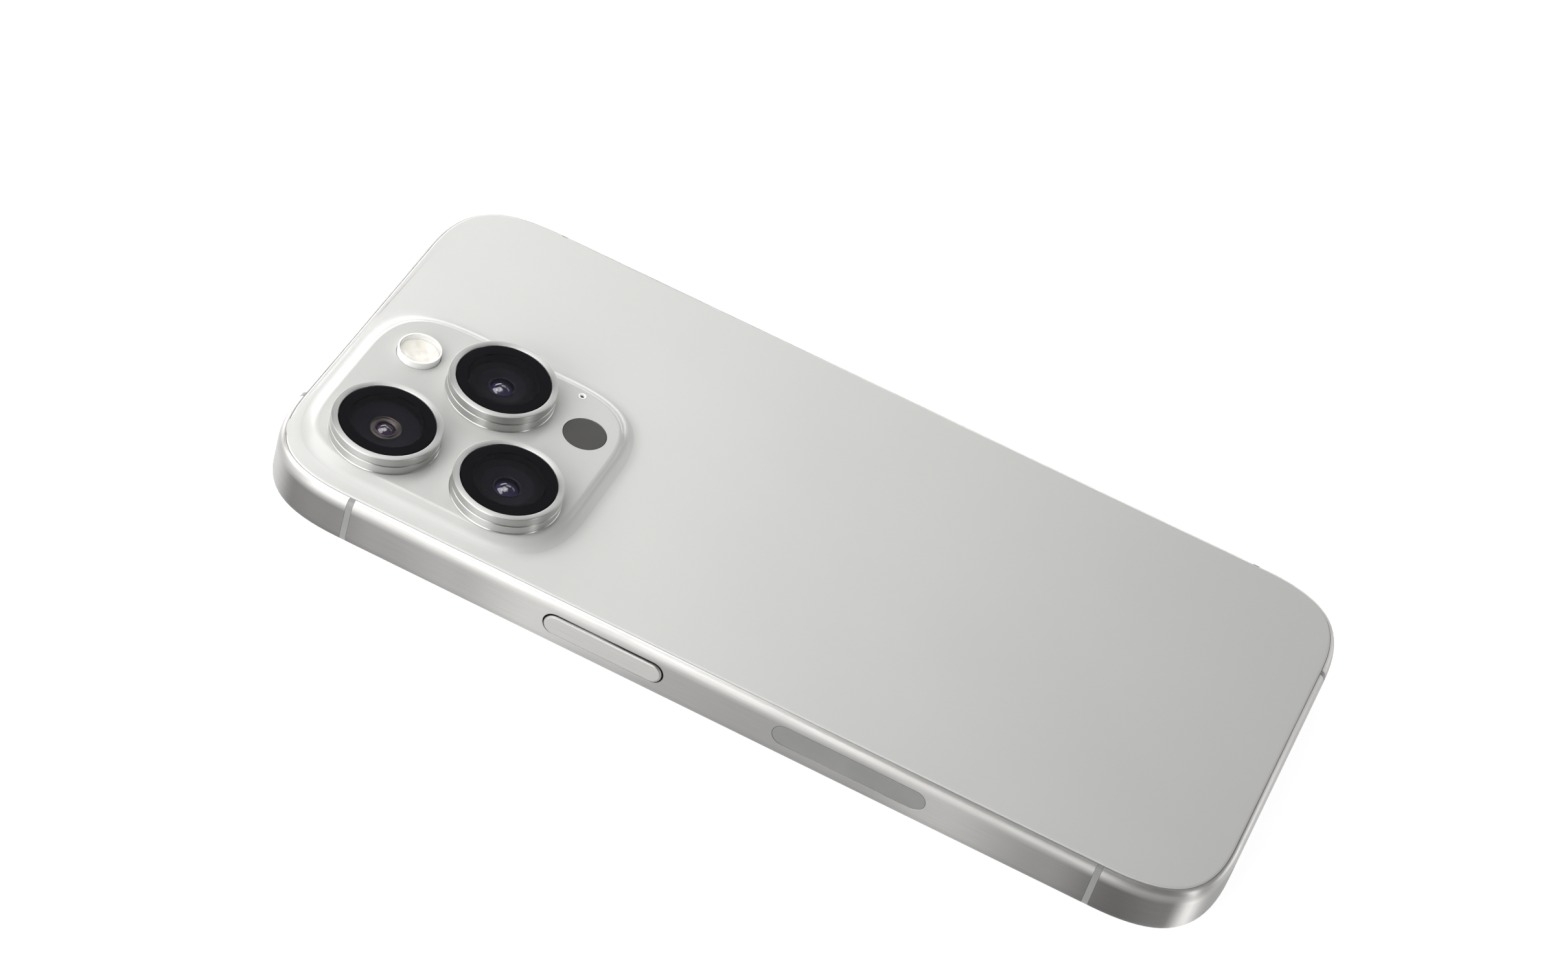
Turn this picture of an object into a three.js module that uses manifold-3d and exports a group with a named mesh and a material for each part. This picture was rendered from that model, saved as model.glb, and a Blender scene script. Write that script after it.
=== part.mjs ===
// A slim smartphone built as an assembly of separate solids.
// Millimetres. The origin is the centre of the display's outer face; +Z points out of the back,
// +Y towards the camera end and +X to the right as seen from behind.
import * as THREE from 'three';
import { mergeVertices } from 'three/addons/utils/BufferGeometryUtils.js';
import Module from 'manifold-3d';

const wasm = await Module();
wasm.setup();

// ---------------------------------------------------------------- driving dimensions

const BODY = { halfX: 35.3, halfY: 73.3, top: 8.25, corner: 12 };
const SHOULDER = { inset: 0.9, height: 1.56, low: 0.2, high: 8.05 };
const GAP = 0.05;                 // working gap between fitted pieces
const WALL = 2.3;                 // frame wall at mid height
const POCKET_INSET = 0.93;        // frame face to the glass pocket
const GLASS_INSET = 1.0;          // frame face to the edge of both glasses
const CAVITY = {
  halfX: BODY.halfX - WALL,
  halfY: BODY.halfY - WALL,
  corner: BODY.corner - WALL,
};
const FRONT = { glassTop: 0.8, ledge: 1.02, panelTop: 1.6 };
const BACK = { ledge: 7.25, glassLow: 7.45 };
const PLATE = { low: 2.0, high: 2.5, halfX: 32.1, halfY: 70.8 };
const INNER_FLOOR = PLATE.high + 0.15;

// Camera plateau: outline of its flat top, width of its sloping sides and heights.
const PLATEAU = { cx: -12.8, cy: 49.9, halfX: 17.05, halfY: 19.1, corner: 8.5, slope: 3.3, top: 9.6 };
const SLOPE_STEPS = [
  { inset: 0.0, z: 8.25 },
  { inset: 0.3, z: 8.43 },
  { inset: 0.62, z: 9.28 },
  { inset: 1.0, z: 9.6 },
];

// Lens stacks: ring, collar and cover share one size; the optics inside differ.
const RING = { outer: 8.0, inner: 6.98, sleeve: 7.3, bore: 6.4, low: 7.35, foot: 11.1, top: 12.4 };
const COLLAR = { inner: 7.36, low: 9.62, high: 11.05, bead: 0.1 };
const COVER = { radius: 6.93, low: 11.6, high: 12.36 };
const BARREL = { low: 4.8, high: 11.2, seat: 10.3, apex: 10.85 };
const MODULE_TOP = 7.1;
const CAMERAS = [
  { name: 'ultrawide', x: -21.87, y: 59.07, element: 1.35, mouth: 4.6, barrel: 5.3, half: 8.4 },
  { name: 'main', x: -21.88, y: 39.83, element: 1.9, mouth: 2.9, barrel: 5.3, half: 8.4 },
  { name: 'tele', x: -4.04, y: 49.44, element: 1.9, mouth: 2.3, barrel: 4.9, half: 7.5 },
];
const FLASH = { x: -4.0, y: 62.7, lens: 2.95, outer: 3.25, top: 10.7 };
const SCANNER = { x: -4.03, y: 35.84, radius: 3.2, half: 3.4 };
const REAR_MIC = { x: 2.9, y: 39.5, radius: 0.45 };

// Buttons: side is the sign of X; each slides inwards by the stroke in the record.
const BUTTON = { proud: 0.3, flange: 0.5, lip: 0.5, clearance: 0.1, z: 4.2 };
const BUTTONS = [
  { name: 'side_button', side: -1, y: 17.0, length: 18.2, height: 3.3 },
  { name: 'volume_up_button', side: 1, y: 28.6, length: 11.2, height: 3.0 },
  { name: 'volume_down_button', side: 1, y: 14.4, length: 11.2, height: 3.0 },
  { name: 'action_button', side: 1, y: 41.5, length: 6.6, height: 3.0 },
];
const SWITCHES = [
  { name: 'side_switch', side: -1, y: 17.0, length: 14, domes: [17.0] },
  { name: 'volume_switch', side: 1, y: 28.0, length: 38, domes: [14.4, 28.6, 41.5] },
];
const WINDOW = { y: -20.65, z: 4.35, length: 23.3, height: 3.5, depth: 0.8 };

// Antenna bands: plastic strips let into the frame. axis is the direction across the strip.
const BAND = { width: 1.0, depth: 1.1 };
const BANDS = [
  { name: 'antenna_band_left_upper', axis: 'y', at: 57.2, side: -1 },
  { name: 'antenna_band_left_lower', axis: 'y', at: -57.2, side: -1 },
  { name: 'antenna_band_right_upper', axis: 'y', at: 57.2, side: 1 },
  { name: 'antenna_band_right_lower', axis: 'y', at: -57.2, side: 1 },
  { name: 'antenna_band_top', axis: 'x', at: -20.0, side: 1 },
  { name: 'antenna_band_bottom', axis: 'x', at: 19.5, side: -1 },
];

// Bottom edge: charging port, two screws and two rows of round grille holes.
const PORT = { z: 4.15, outerX: 4.55, outerZ: 1.62, innerX: 4.2, innerZ: 1.28, mouth: -73.1, back: -65.5 };
const SCREW = { x: 7.3, radius: 0.78, length: 2.2 };
const GRILLE = { radius: 0.75, pitch: 2.5, first: 10.4, speaker: 5, microphone: 3 };

// Front: pill-shaped opening in the panel, and the earpiece slot at the glass's top edge.
const PILL = { y: 65.7, halfX: 10.45, halfY: 3.05 };
const EARPIECE = { halfX: 5.5, low: 71.5 };
const FRONT_CAMERA = { x: -7.2, radius: 1.9, low: 1.0, high: 3.2 };

// Inner blocks: half sizes and places on the plan, with their heights.
const BATTERY = { x: 0, y: -8, halfX: 30, halfY: 32, low: INNER_FLOOR, high: 6.3 };
const BOARD = { x: 21, y: 47, halfX: 9, halfY: 18, low: 2.9, high: 3.7 };
const COIL = { y: -2, inner: 8, outer: 21.5, low: 6.45, high: 6.95 };
const MAGNETS = { inner: 23, outer: 27.8, low: 6.45, high: 7.2 };
const SPEAKER = { x: -18.75, y: -58, halfX: 10.75, halfY: 10, low: INNER_FLOOR, high: 6.9 };
const HAPTIC = { x: 18.75, y: -56, halfX: 10.5, halfY: 8, low: INNER_FLOOR, high: 6.6, wall: 0.8 };
const HAPTIC_TRAVEL = 0.9;

// Facets around a full turn.
const TURN = { large: 30, medium: 22, small: 12 };

// ---------------------------------------------------------------- materials

const FINISH = {
  titanium: { color: 0xb9b6b0, roughness: 0.34, metalness: 1 },
  backGlass: { color: 0xdddcd8, roughness: 0.45, metalness: 0 },
  darkGlass: { color: 0x0b0c10, roughness: 0.05, metalness: 0 },
  polished: { color: 0xd2d1cd, roughness: 0.2, metalness: 1 },
  collar: { color: 0xd9d8d4, roughness: 0.25, metalness: 0.6 },
  blackPlastic: { color: 0x17181b, roughness: 0.5, metalness: 0 },
  greyPlastic: { color: 0x8d8c88, roughness: 0.5, metalness: 0 },
  coatedLens: { color: 0x2b2747, roughness: 0.03, metalness: 0 },
  clearLens: { color: 0xf4f1e6, roughness: 0.1, metalness: 0 },
  panel: { color: 0x07080a, roughness: 0.15, metalness: 0 },
  rubber: { color: 0x202124, roughness: 0.9, metalness: 0 },
  aluminium: { color: 0xa9abad, roughness: 0.45, metalness: 1 },
  copper: { color: 0xb3693b, roughness: 0.4, metalness: 1 },
  board: { color: 0x1c3a2c, roughness: 0.6, metalness: 0 },
  steel: { color: 0x9fa1a4, roughness: 0.35, metalness: 1 },
  gold: { color: 0xe9b24f, roughness: 0.4, metalness: 0 },
};

function material(finish) {
  return new THREE.MeshStandardMaterial(FINISH[finish]);
}

// ---------------------------------------------------------------- solids

// Merges shared corners and drops faces that have collapsed to a line.
function weld(geometry) {
  const bare = geometry.clone();
  bare.deleteAttribute('normal');
  bare.deleteAttribute('uv');
  const merged = mergeVertices(bare, 1e-5);
  const index = merged.index.array;
  const kept = [];
  for (let i = 0; i < index.length; i += 3) {
    const [a, b, c] = [index[i], index[i + 1], index[i + 2]];
    if (a !== b && b !== c && c !== a) {
      kept.push(a, b, c);
    }
  }
  merged.setIndex(kept);
  return merged;
}

function solid(geometry) {
  const welded = weld(geometry);
  return new wasm.Manifold(new wasm.Mesh({
    numProp: 3,
    vertProperties: new Float32Array(welded.attributes.position.array),
    triVerts: new Uint32Array(welded.index.array),
  }));
}

function fromSolid(body) {
  const mesh = body.getMesh();
  const geometry = new THREE.BufferGeometry();
  geometry.setAttribute('position', new THREE.BufferAttribute(new Float32Array(mesh.vertProperties), 3));
  geometry.setIndex(new THREE.BufferAttribute(new Uint32Array(mesh.triVerts), 1));
  return geometry;
}

function cut(body, tools) {
  return tools.reduce((rest, tool) => rest.subtract(solid(tool)), body);
}

function join(geometries) {
  return geometries.slice(1).reduce((sum, next) => sum.add(solid(next)), solid(geometries[0]));
}

// ---------------------------------------------------------------- outlines and blocks

// Rectangle whose corners ease into the straight sides instead of starting as a plain arc.
function softRect(halfX, halfY, corner) {
  const reach = 1.28 * corner;
  const handle = 0.3543 * corner;
  const shape = new THREE.Shape();
  shape.moveTo(halfX - reach, -halfY);
  shape.bezierCurveTo(halfX - handle, -halfY, halfX, -halfY + handle, halfX, -halfY + reach);
  shape.lineTo(halfX, halfY - reach);
  shape.bezierCurveTo(halfX, halfY - handle, halfX - handle, halfY, halfX - reach, halfY);
  shape.lineTo(-halfX + reach, halfY);
  shape.bezierCurveTo(-halfX + handle, halfY, -halfX, halfY - handle, -halfX, halfY - reach);
  shape.lineTo(-halfX, -halfY + reach);
  shape.bezierCurveTo(-halfX, -halfY + handle, -halfX + handle, -halfY, -halfX + reach, -halfY);
  return shape;
}

// Long shape with fully round ends, lying along X.
function capsule(halfX, halfY) {
  const shape = new THREE.Shape();
  shape.moveTo(-halfX + halfY, -halfY);
  shape.lineTo(halfX - halfY, -halfY);
  shape.absarc(halfX - halfY, 0, halfY, -Math.PI / 2, Math.PI / 2, false);
  shape.lineTo(-halfX + halfY, halfY);
  shape.absarc(-halfX + halfY, 0, halfY, Math.PI / 2, 1.5 * Math.PI, false);
  return shape;
}

function slab(shape, low, high, curveSegments = 6) {
  const options = { depth: high - low, bevelEnabled: false, curveSegments };
  return new THREE.ExtrudeGeometry(shape, options).translate(0, 0, low);
}

// Block with eased top and bottom edges; ease is how far the edge comes in, rise how high it is.
function easedBlock(halfX, halfY, corner, low, high, ease, rise = ease, steps = 1) {
  const shape = softRect(halfX - ease, halfY - ease, corner - ease);
  const options = {
    depth: high - low - 2 * rise,
    bevelEnabled: true,
    bevelSize: ease,
    bevelThickness: rise,
    bevelSegments: steps,
    curveSegments: 6,
  };
  return new THREE.ExtrudeGeometry(shape, options).translate(0, 0, low + rise);
}

function box(x0, x1, y0, y1, z0, z1) {
  const geometry = new THREE.BoxGeometry(x1 - x0, y1 - y0, z1 - z0);
  return geometry.translate((x0 + x1) / 2, (y0 + y1) / 2, (z0 + z1) / 2);
}

function blockAt({ x, y, halfX, halfY, low, high }) {
  return box(x - halfX, x + halfX, y - halfY, y + halfY, low, high);
}

// Solid of revolution about Z; points run from the bottom outwards and back over the top.
function turned(points, facets) {
  const profile = points.map(([radius, z]) => new THREE.Vector2(radius, z));
  return new THREE.LatheGeometry(profile, facets).rotateX(Math.PI / 2);
}

function disc(radius, low, high, facets = TURN.medium) {
  return turned([[0, low], [radius, low], [radius, high], [0, high]], facets);
}

function tube(inner, outer, low, high, facets = TURN.large) {
  return turned([[inner, low], [outer, low], [outer, high], [inner, high], [inner, low]], facets);
}

// Turns a block drawn on the X-Y plan so that it faces sideways: plan X runs along Y and plan Y up.
function facingX(geometry) {
  const basis = new THREE.Matrix4();
  basis.makeBasis(new THREE.Vector3(0, 1, 0), new THREE.Vector3(0, 0, 1), new THREE.Vector3(1, 0, 0));
  return geometry.applyMatrix4(basis);
}

// Turns a block drawn on the X-Y plan so that its height runs along -Y and its plan Y up.
function facingY(geometry) {
  const basis = new THREE.Matrix4();
  basis.makeBasis(new THREE.Vector3(1, 0, 0), new THREE.Vector3(0, 0, 1), new THREE.Vector3(0, -1, 0));
  return geometry.applyMatrix4(basis);
}

// Slab that stands between two X positions, whichever side of the phone it is on.
function sideSlab(shape, side, inner, outer, y, z) {
  const [low, high] = side > 0 ? [inner, outer] : [-outer, -inner];
  return facingX(slab(shape, low, high, 5)).translate(0, y, z);
}

// ---------------------------------------------------------------- frame and glasses

function frameEnvelope(inset) {
  return easedBlock(
    BODY.halfX - inset, BODY.halfY - inset, BODY.corner - inset,
    SHOULDER.low + inset, SHOULDER.high - inset,
    SHOULDER.inset, SHOULDER.height, 4,
  );
}

// The frame before its slots are cut: envelope, two glass pockets and the cavity.
function frameBlank() {
  const halfX = BODY.halfX - POCKET_INSET;
  const halfY = BODY.halfY - POCKET_INSET;
  const pocket = softRect(halfX, halfY, BODY.corner - POCKET_INSET);
  const cavity = softRect(CAVITY.halfX, CAVITY.halfY, CAVITY.corner);
  return cut(solid(frameEnvelope(0)), [
    slab(pocket, BACK.ledge, BODY.top + 1),
    slab(pocket, -1, FRONT.ledge),
    slab(cavity, -1, BODY.top + 1),
  ]);
}

// Slice of the frame's outer skin that one antenna band fills.
function bandRegion({ axis, at, side }, width, depth) {
  const [low, high] = [at - width / 2, at + width / 2];
  const reach = side > 0 ? [28, 80] : [-80, -28];
  const slice = axis === 'y' ? box(...reach, low, high, -1, 10) : box(low, high, ...reach, -1, 10);
  return solid(slice).subtract(solid(frameEnvelope(depth)));
}

function grilleHoles() {
  const holes = [];
  const rows = [{ side: -1, count: GRILLE.speaker }, { side: 1, count: GRILLE.microphone }];
  for (const { side, count } of rows) {
    for (let i = 0; i < count; i += 1) {
      const x = side * (GRILLE.first + i * GRILLE.pitch);
      holes.push(facingY(disc(GRILLE.radius, 70, 75, TURN.small)).translate(x, 0, PORT.z));
    }
  }
  return holes;
}

function frameCutters() {
  const cutters = grilleHoles();
  for (const { side, y, length, height } of BUTTONS) {
    const slot = capsule(length / 2 + BUTTON.clearance, height / 2 + BUTTON.clearance);
    cutters.push(sideSlab(slot, side, CAVITY.halfX - 1, BODY.halfX + 1, y, BUTTON.z));
  }
  const pocket = capsule(WINDOW.length / 2, WINDOW.height / 2);
  cutters.push(sideSlab(pocket, -1, BODY.halfX - WINDOW.depth, BODY.halfX + 1, WINDOW.y, WINDOW.z));
  const mouth = capsule(PORT.outerX + GAP, PORT.outerZ + GAP);
  cutters.push(facingY(slab(mouth, 70, 75, 6)).translate(0, 0, PORT.z));
  for (const side of [-1, 1]) {
    const hole = facingY(disc(SCREW.radius + GAP, 70, 75, TURN.small));
    cutters.push(hole.translate(side * SCREW.x, 0, PORT.z));
  }
  return cutters;
}

function sideFrame(blank) {
  const slotted = BANDS.reduce(
    (rest, band) => rest.subtract(bandRegion(band, BAND.width, BAND.depth)),
    blank,
  );
  return fromSolid(cut(slotted, frameCutters()));
}

function antennaBand(blank, band) {
  return fromSolid(blank.intersect(bandRegion(band, BAND.width - 2 * GAP, BAND.depth - GAP)));
}

function antennaWindow() {
  const shape = capsule(WINDOW.length / 2 - GAP, WINDOW.height / 2 - GAP);
  const inner = BODY.halfX - WINDOW.depth + GAP;
  return sideSlab(shape, -1, inner, BODY.halfX, WINDOW.y, WINDOW.z);
}

function glassPlate(low, high) {
  const halfX = BODY.halfX - GLASS_INSET;
  const halfY = BODY.halfY - GLASS_INSET;
  return easedBlock(halfX, halfY, BODY.corner - GLASS_INSET, low, high, 0.2);
}

// Stacked frustums that follow the plateau's S-shaped side.
function plateauSteps() {
  const steps = [];
  for (let i = 1; i < SLOPE_STEPS.length; i += 1) {
    const [lower, upper] = [SLOPE_STEPS[i - 1], SLOPE_STEPS[i]];
    const out = (1 - lower.inset) * PLATEAU.slope;
    const ease = (upper.inset - lower.inset) * PLATEAU.slope;
    const rise = upper.z - lower.z;
    const low = lower.z - rise - GAP;
    const step = easedBlock(
      PLATEAU.halfX + out, PLATEAU.halfY + out, PLATEAU.corner + out, low, upper.z, ease, rise,
    );
    steps.push(step.translate(PLATEAU.cx, PLATEAU.cy, 0));
  }
  return steps;
}

function backGlass() {
  const bodyOfGlass = join([glassPlate(BACK.glassLow, BODY.top), ...plateauSteps()]);
  const holes = CAMERAS.map(({ x, y }) => disc(RING.sleeve + GAP, 7, 10, TURN.large).translate(x, y, 0));
  holes.push(disc(FLASH.outer + GAP, 7, 10).translate(FLASH.x, FLASH.y, 0));
  holes.push(disc(SCANNER.radius + GAP, 7, 10).translate(SCANNER.x, SCANNER.y, 0));
  holes.push(disc(REAR_MIC.radius + GAP, 7, 10, TURN.small).translate(REAR_MIC.x, REAR_MIC.y, 0));
  return fromSolid(cut(bodyOfGlass, holes));
}

function displayGlass() {
  const notch = box(-EARPIECE.halfX, EARPIECE.halfX, EARPIECE.low, BODY.halfY, -1, 2);
  return fromSolid(cut(solid(glassPlate(0, FRONT.glassTop)), [notch]));
}

function displayPanel() {
  const shape = softRect(CAVITY.halfX - 0.1, CAVITY.halfY - 0.1, CAVITY.corner - 0.1);
  const pill = slab(capsule(PILL.halfX, PILL.halfY), 0, 3).translate(0, PILL.y, 0);
  return fromSolid(cut(solid(slab(shape, FRONT.glassTop + 0.02, FRONT.panelTop)), [pill]));
}

function sealRing(low, high) {
  const outline = (inset) => softRect(BODY.halfX - inset, BODY.halfY - inset, BODY.corner - inset);
  return fromSolid(cut(solid(slab(outline(1.1), low, high)), [slab(outline(2.2), low - 1, high + 1)]));
}

function midPlate() {
  const shape = softRect(PLATE.halfX, PLATE.halfY, CAVITY.corner - 0.9);
  const sensorWindow = box(-11.2, 11.2, 61.9, 69.6, 0, 4);
  return fromSolid(cut(solid(slab(shape, PLATE.low, PLATE.high)), [sensorWindow]));
}

function earpieceMesh() {
  const [x, y] = [EARPIECE.halfX - GAP, EARPIECE.low + GAP];
  return box(-x, x, y, BODY.halfY - GLASS_INSET - 0.1, 0.1, FRONT.glassTop - 0.1);
}

// ---------------------------------------------------------------- cameras

function lensRing() {
  const { outer, inner, sleeve, bore, low, foot, top } = RING;
  const chamfer = 0.25;
  return turned([
    [bore, low],
    [sleeve, low],
    [sleeve, foot],
    [outer, foot],
    [outer, top - chamfer],
    [outer - chamfer, top],
    [inner, top],
    [inner, COVER.low - GAP],
    [bore, COVER.low - GAP],
    [bore, low],
  ], TURN.large);
}

function lensCollar() {
  const { inner, low, high, bead } = COLLAR;
  return turned([
    [inner, low],
    [RING.outer + bead, low],
    [RING.outer + bead, low + bead],
    [RING.outer, low + 2 * bead],
    [RING.outer, high],
    [inner, high],
    [inner, low],
  ], TURN.large);
}

function lensCover() {
  const { radius, low, high } = COVER;
  const edge = 0.08;
  return turned([
    [0, low],
    [radius, low],
    [radius, high - edge],
    [radius - edge, high],
    [0, high],
  ], TURN.large);
}

// Focusing barrel: a tube whose mouth narrows to the seat of the front element.
function lensBarrel({ element, mouth, barrel }) {
  const { low, high, seat } = BARREL;
  const lip = 0.3;
  return turned([
    [element - lip, low],
    [barrel, low],
    [barrel, high],
    [mouth, high],
    [element + GAP, seat + 0.3],
    [element + GAP, seat - 0.6],
    [element - lip, seat - 0.6],
    [element - lip, low],
  ], TURN.medium);
}

function frontElement({ element }) {
  const { seat, apex } = BARREL;
  const rise = apex - seat;
  const dome = [];
  const rings = 3;
  for (let i = 0; i <= rings; i += 1) {
    const angle = (i / rings) * Math.PI / 2;
    dome.push([element * Math.cos(angle), seat + rise * Math.sin(angle)]);
  }
  dome[rings][0] = 0;
  return turned([[0, seat - 0.5], [element, seat - 0.5], ...dome], TURN.medium);
}

function cameraModule({ half, barrel }) {
  const body = solid(box(-half, half, -half, half, INNER_FLOOR, MODULE_TOP));
  return fromSolid(cut(body, [disc(barrel + 0.25, 4.2, MODULE_TOP + 1)]));
}

function flashParts() {
  const { lens, outer, top } = FLASH;
  const trim = turned([
    [lens + GAP, BACK.glassLow],
    [outer, BACK.glassLow],
    [outer, top - 0.15],
    [outer - 0.12, top],
    [lens + GAP, top],
    [lens + GAP, BACK.glassLow],
  ], TURN.medium);
  const cap = turned([
    [0, 9.9],
    [lens, 9.9],
    [lens, top - 0.12],
    [lens - 0.3, top - 0.04],
    [0, top],
  ], TURN.medium);
  return { trim, cap, lamp: disc(2.6, BACK.glassLow, 9.4, TURN.small) };
}

// ---------------------------------------------------------------- buttons and switches

// Cap in the frame's slot with a wider flange behind the wall that keeps it in.
function sideButton({ side, length, height }) {
  const inner = CAVITY.halfX - GAP;
  const cap = sideSlab(capsule(length / 2, height / 2), side, inner, BODY.halfX + BUTTON.proud, 0, 0);
  const flangeShape = capsule(length / 2 + BUTTON.lip, height / 2 + BUTTON.lip);
  const flange = sideSlab(flangeShape, side, inner - BUTTON.flange, inner, 0, 0);
  return fromSolid(join([cap, flange]));
}

// Thin switch strip with one dome behind each button.
function switchStrip({ side, y, length, domes }) {
  const strip = sideSlab(softRect(length / 2, 1.4, 0.5), side, 31.2, 31.5, y, BUTTON.z);
  const buds = domes.map((at) => sideSlab(capsule(1.2, 1.19), side, 31.45, 32.15, at, BUTTON.z));
  return fromSolid(join([strip, ...buds]));
}

// ---------------------------------------------------------------- port, speakers and inner parts

function portShell() {
  const outer = facingY(slab(capsule(PORT.outerX, PORT.outerZ), -PORT.back, -PORT.mouth, 6));
  const inner = facingY(slab(capsule(PORT.innerX, PORT.innerZ), 1 - PORT.back, 1 - PORT.mouth, 6));
  return fromSolid(cut(solid(outer), [inner])).translate(0, 0, PORT.z);
}

function portTongue() {
  return box(-3.35, 3.35, PORT.mouth + 0.6, PORT.back - 1 - GAP, PORT.z - 0.35, PORT.z + 0.35);
}

function portScrew() {
  const head = facingY(disc(SCREW.radius, BODY.halfY - SCREW.length, BODY.halfY - GAP, TURN.small));
  const socket = facingY(disc(0.4, BODY.halfY - 0.5, BODY.halfY + 1, 5));
  return fromSolid(cut(solid(head), [socket]));
}

function loudspeaker() {
  const { x, y, halfX, halfY, high } = SPEAKER;
  const sound = box(x - 7, x + 7, y - halfY - 1, y - halfY + 5, 3.2, high - 1);
  return fromSolid(cut(solid(blockAt(SPEAKER)), [sound]));
}

function hapticHousing() {
  const { halfX, halfY, low, wall } = HAPTIC;
  const well = { ...HAPTIC, halfX: halfX - wall, halfY: halfY - wall, low: low + wall, high: 9 };
  return fromSolid(cut(solid(blockAt(HAPTIC)), [blockAt(well)]));
}

function hapticMass() {
  const { halfX, halfY, low, high, wall } = HAPTIC;
  const spare = wall + HAPTIC_TRAVEL + 0.3;
  return blockAt({
    ...HAPTIC, halfX: halfX - spare, halfY: halfY - wall - 0.3, low: low + wall + 0.3, high: high - 0.4,
  });
}

function boardShield() {
  const margin = 0.8;
  return blockAt({
    ...BOARD, halfX: BOARD.halfX - margin, halfY: BOARD.halfY - margin, low: BOARD.high + GAP, high: 5.4,
  });
}

function frontCameraModule() {
  const { x, radius, high } = FRONT_CAMERA;
  const body = solid(box(x - 3.2, x + 3.2, PILL.y - 3.2, PILL.y + 3.2, FRONT.panelTop + 0.1, 4.6));
  const bore = disc(radius + 0.2, 0, high + 0.3, TURN.small).translate(x, PILL.y, 0);
  return fromSolid(cut(body, [bore]));
}

function frontCameraBarrel() {
  const { radius, low, high } = FRONT_CAMERA;
  return turned([
    [0, low + 0.5], [0.9, low + 0.2], [1.4, low], [radius, low], [radius, high], [0, high],
  ], TURN.small);
}

function faceSensor() {
  return box(-3.2, 9.8, PILL.y - 2.8, PILL.y + 2.8, FRONT.panelTop + 0.1, 4.6);
}

// ---------------------------------------------------------------- assembly

const phone = new THREE.Group();

function place(name, geometry, finish, x = 0, y = 0, z = 0) {
  const mesh = new THREE.Mesh(weld(geometry), material(finish));
  mesh.name = name;
  mesh.position.set(x, y, z);
  phone.add(mesh);
}

function addShell() {
  const blank = frameBlank();
  place('side_frame', sideFrame(blank), 'titanium');
  for (const band of BANDS) {
    place(band.name, antennaBand(blank, band), 'greyPlastic');
  }
  place('antenna_window', antennaWindow(), 'greyPlastic');
  place('back_glass', backGlass(), 'backGlass');
  place('back_seal', sealRing(BACK.ledge + 0.02, BACK.glassLow - 0.02), 'rubber');
  place('display_glass', displayGlass(), 'darkGlass');
  place('display_panel', displayPanel(), 'panel');
  place('display_seal', sealRing(FRONT.glassTop + 0.02, FRONT.ledge - 0.02), 'rubber');
  place('mid_plate', midPlate(), 'aluminium');
  place('earpiece_mesh', earpieceMesh(), 'blackPlastic');
}

function addCameras() {
  for (const camera of CAMERAS) {
    const { name, x, y } = camera;
    place(`${name}_ring`, lensRing(), 'polished', x, y);
    place(`${name}_collar`, lensCollar(), 'collar', x, y);
    place(`${name}_cover_glass`, lensCover(), 'darkGlass', x, y);
    place(`${name}_barrel`, lensBarrel(camera), 'blackPlastic', x, y);
    place(`${name}_front_element`, frontElement(camera), 'coatedLens', x, y);
    place(`${name}_module`, cameraModule(camera), 'steel', x, y);
  }
  const flash = flashParts();
  place('flash_trim', flash.trim, 'collar', FLASH.x, FLASH.y);
  place('flash_lens', flash.cap, 'clearLens', FLASH.x, FLASH.y);
  place('flash_lamp', flash.lamp, 'gold', FLASH.x, FLASH.y);
  const { half, radius } = SCANNER;
  place('scanner_window', disc(radius, 8.7, PLATEAU.top - 0.02), 'darkGlass', SCANNER.x, SCANNER.y);
  place('scanner_module', box(-half, half, -half, half, 4.5, 7.3), 'steel', SCANNER.x, SCANNER.y);
  const mesh = disc(REAR_MIC.radius, 9.0, 9.3, TURN.small);
  place('rear_microphone_mesh', mesh, 'blackPlastic', REAR_MIC.x, REAR_MIC.y);
}

function addControls() {
  for (const button of BUTTONS) {
    place(button.name, sideButton(button), 'titanium', 0, button.y, BUTTON.z);
  }
  for (const strip of SWITCHES) {
    place(strip.name, switchStrip(strip), 'gold');
  }
}

function addInside() {
  place('port_shell', portShell(), 'steel');
  place('port_tongue', portTongue(), 'blackPlastic');
  place('port_screw_left', portScrew(), 'steel', -SCREW.x, 0, PORT.z);
  place('port_screw_right', portScrew(), 'steel', SCREW.x, 0, PORT.z);
  place('battery', blockAt(BATTERY), 'blackPlastic');
  place('logic_board', blockAt(BOARD), 'board');
  place('board_shield', boardShield(), 'steel');
  place('charging_coil', tube(COIL.inner, COIL.outer, COIL.low, COIL.high), 'copper', 0, COIL.y);
  place('magnet_ring', tube(MAGNETS.inner, MAGNETS.outer, MAGNETS.low, MAGNETS.high), 'steel', 0, COIL.y);
  place('loudspeaker', loudspeaker(), 'blackPlastic');
  place('haptic_housing', hapticHousing(), 'steel');
  place('haptic_mass', hapticMass(), 'steel');
  place('front_camera_module', frontCameraModule(), 'steel');
  place('front_camera_barrel', frontCameraBarrel(), 'blackPlastic', FRONT_CAMERA.x, PILL.y);
  place('face_sensor', faceSensor(), 'steel');
}

addShell();
addCameras();
addControls();
addInside();

export default phone;
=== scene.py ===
"""Looks of a slim smartphone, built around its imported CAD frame. Metres; mesh builders take millimetres."""
import math

import bmesh
import bpy
from mathutils import Matrix, Vector


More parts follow.
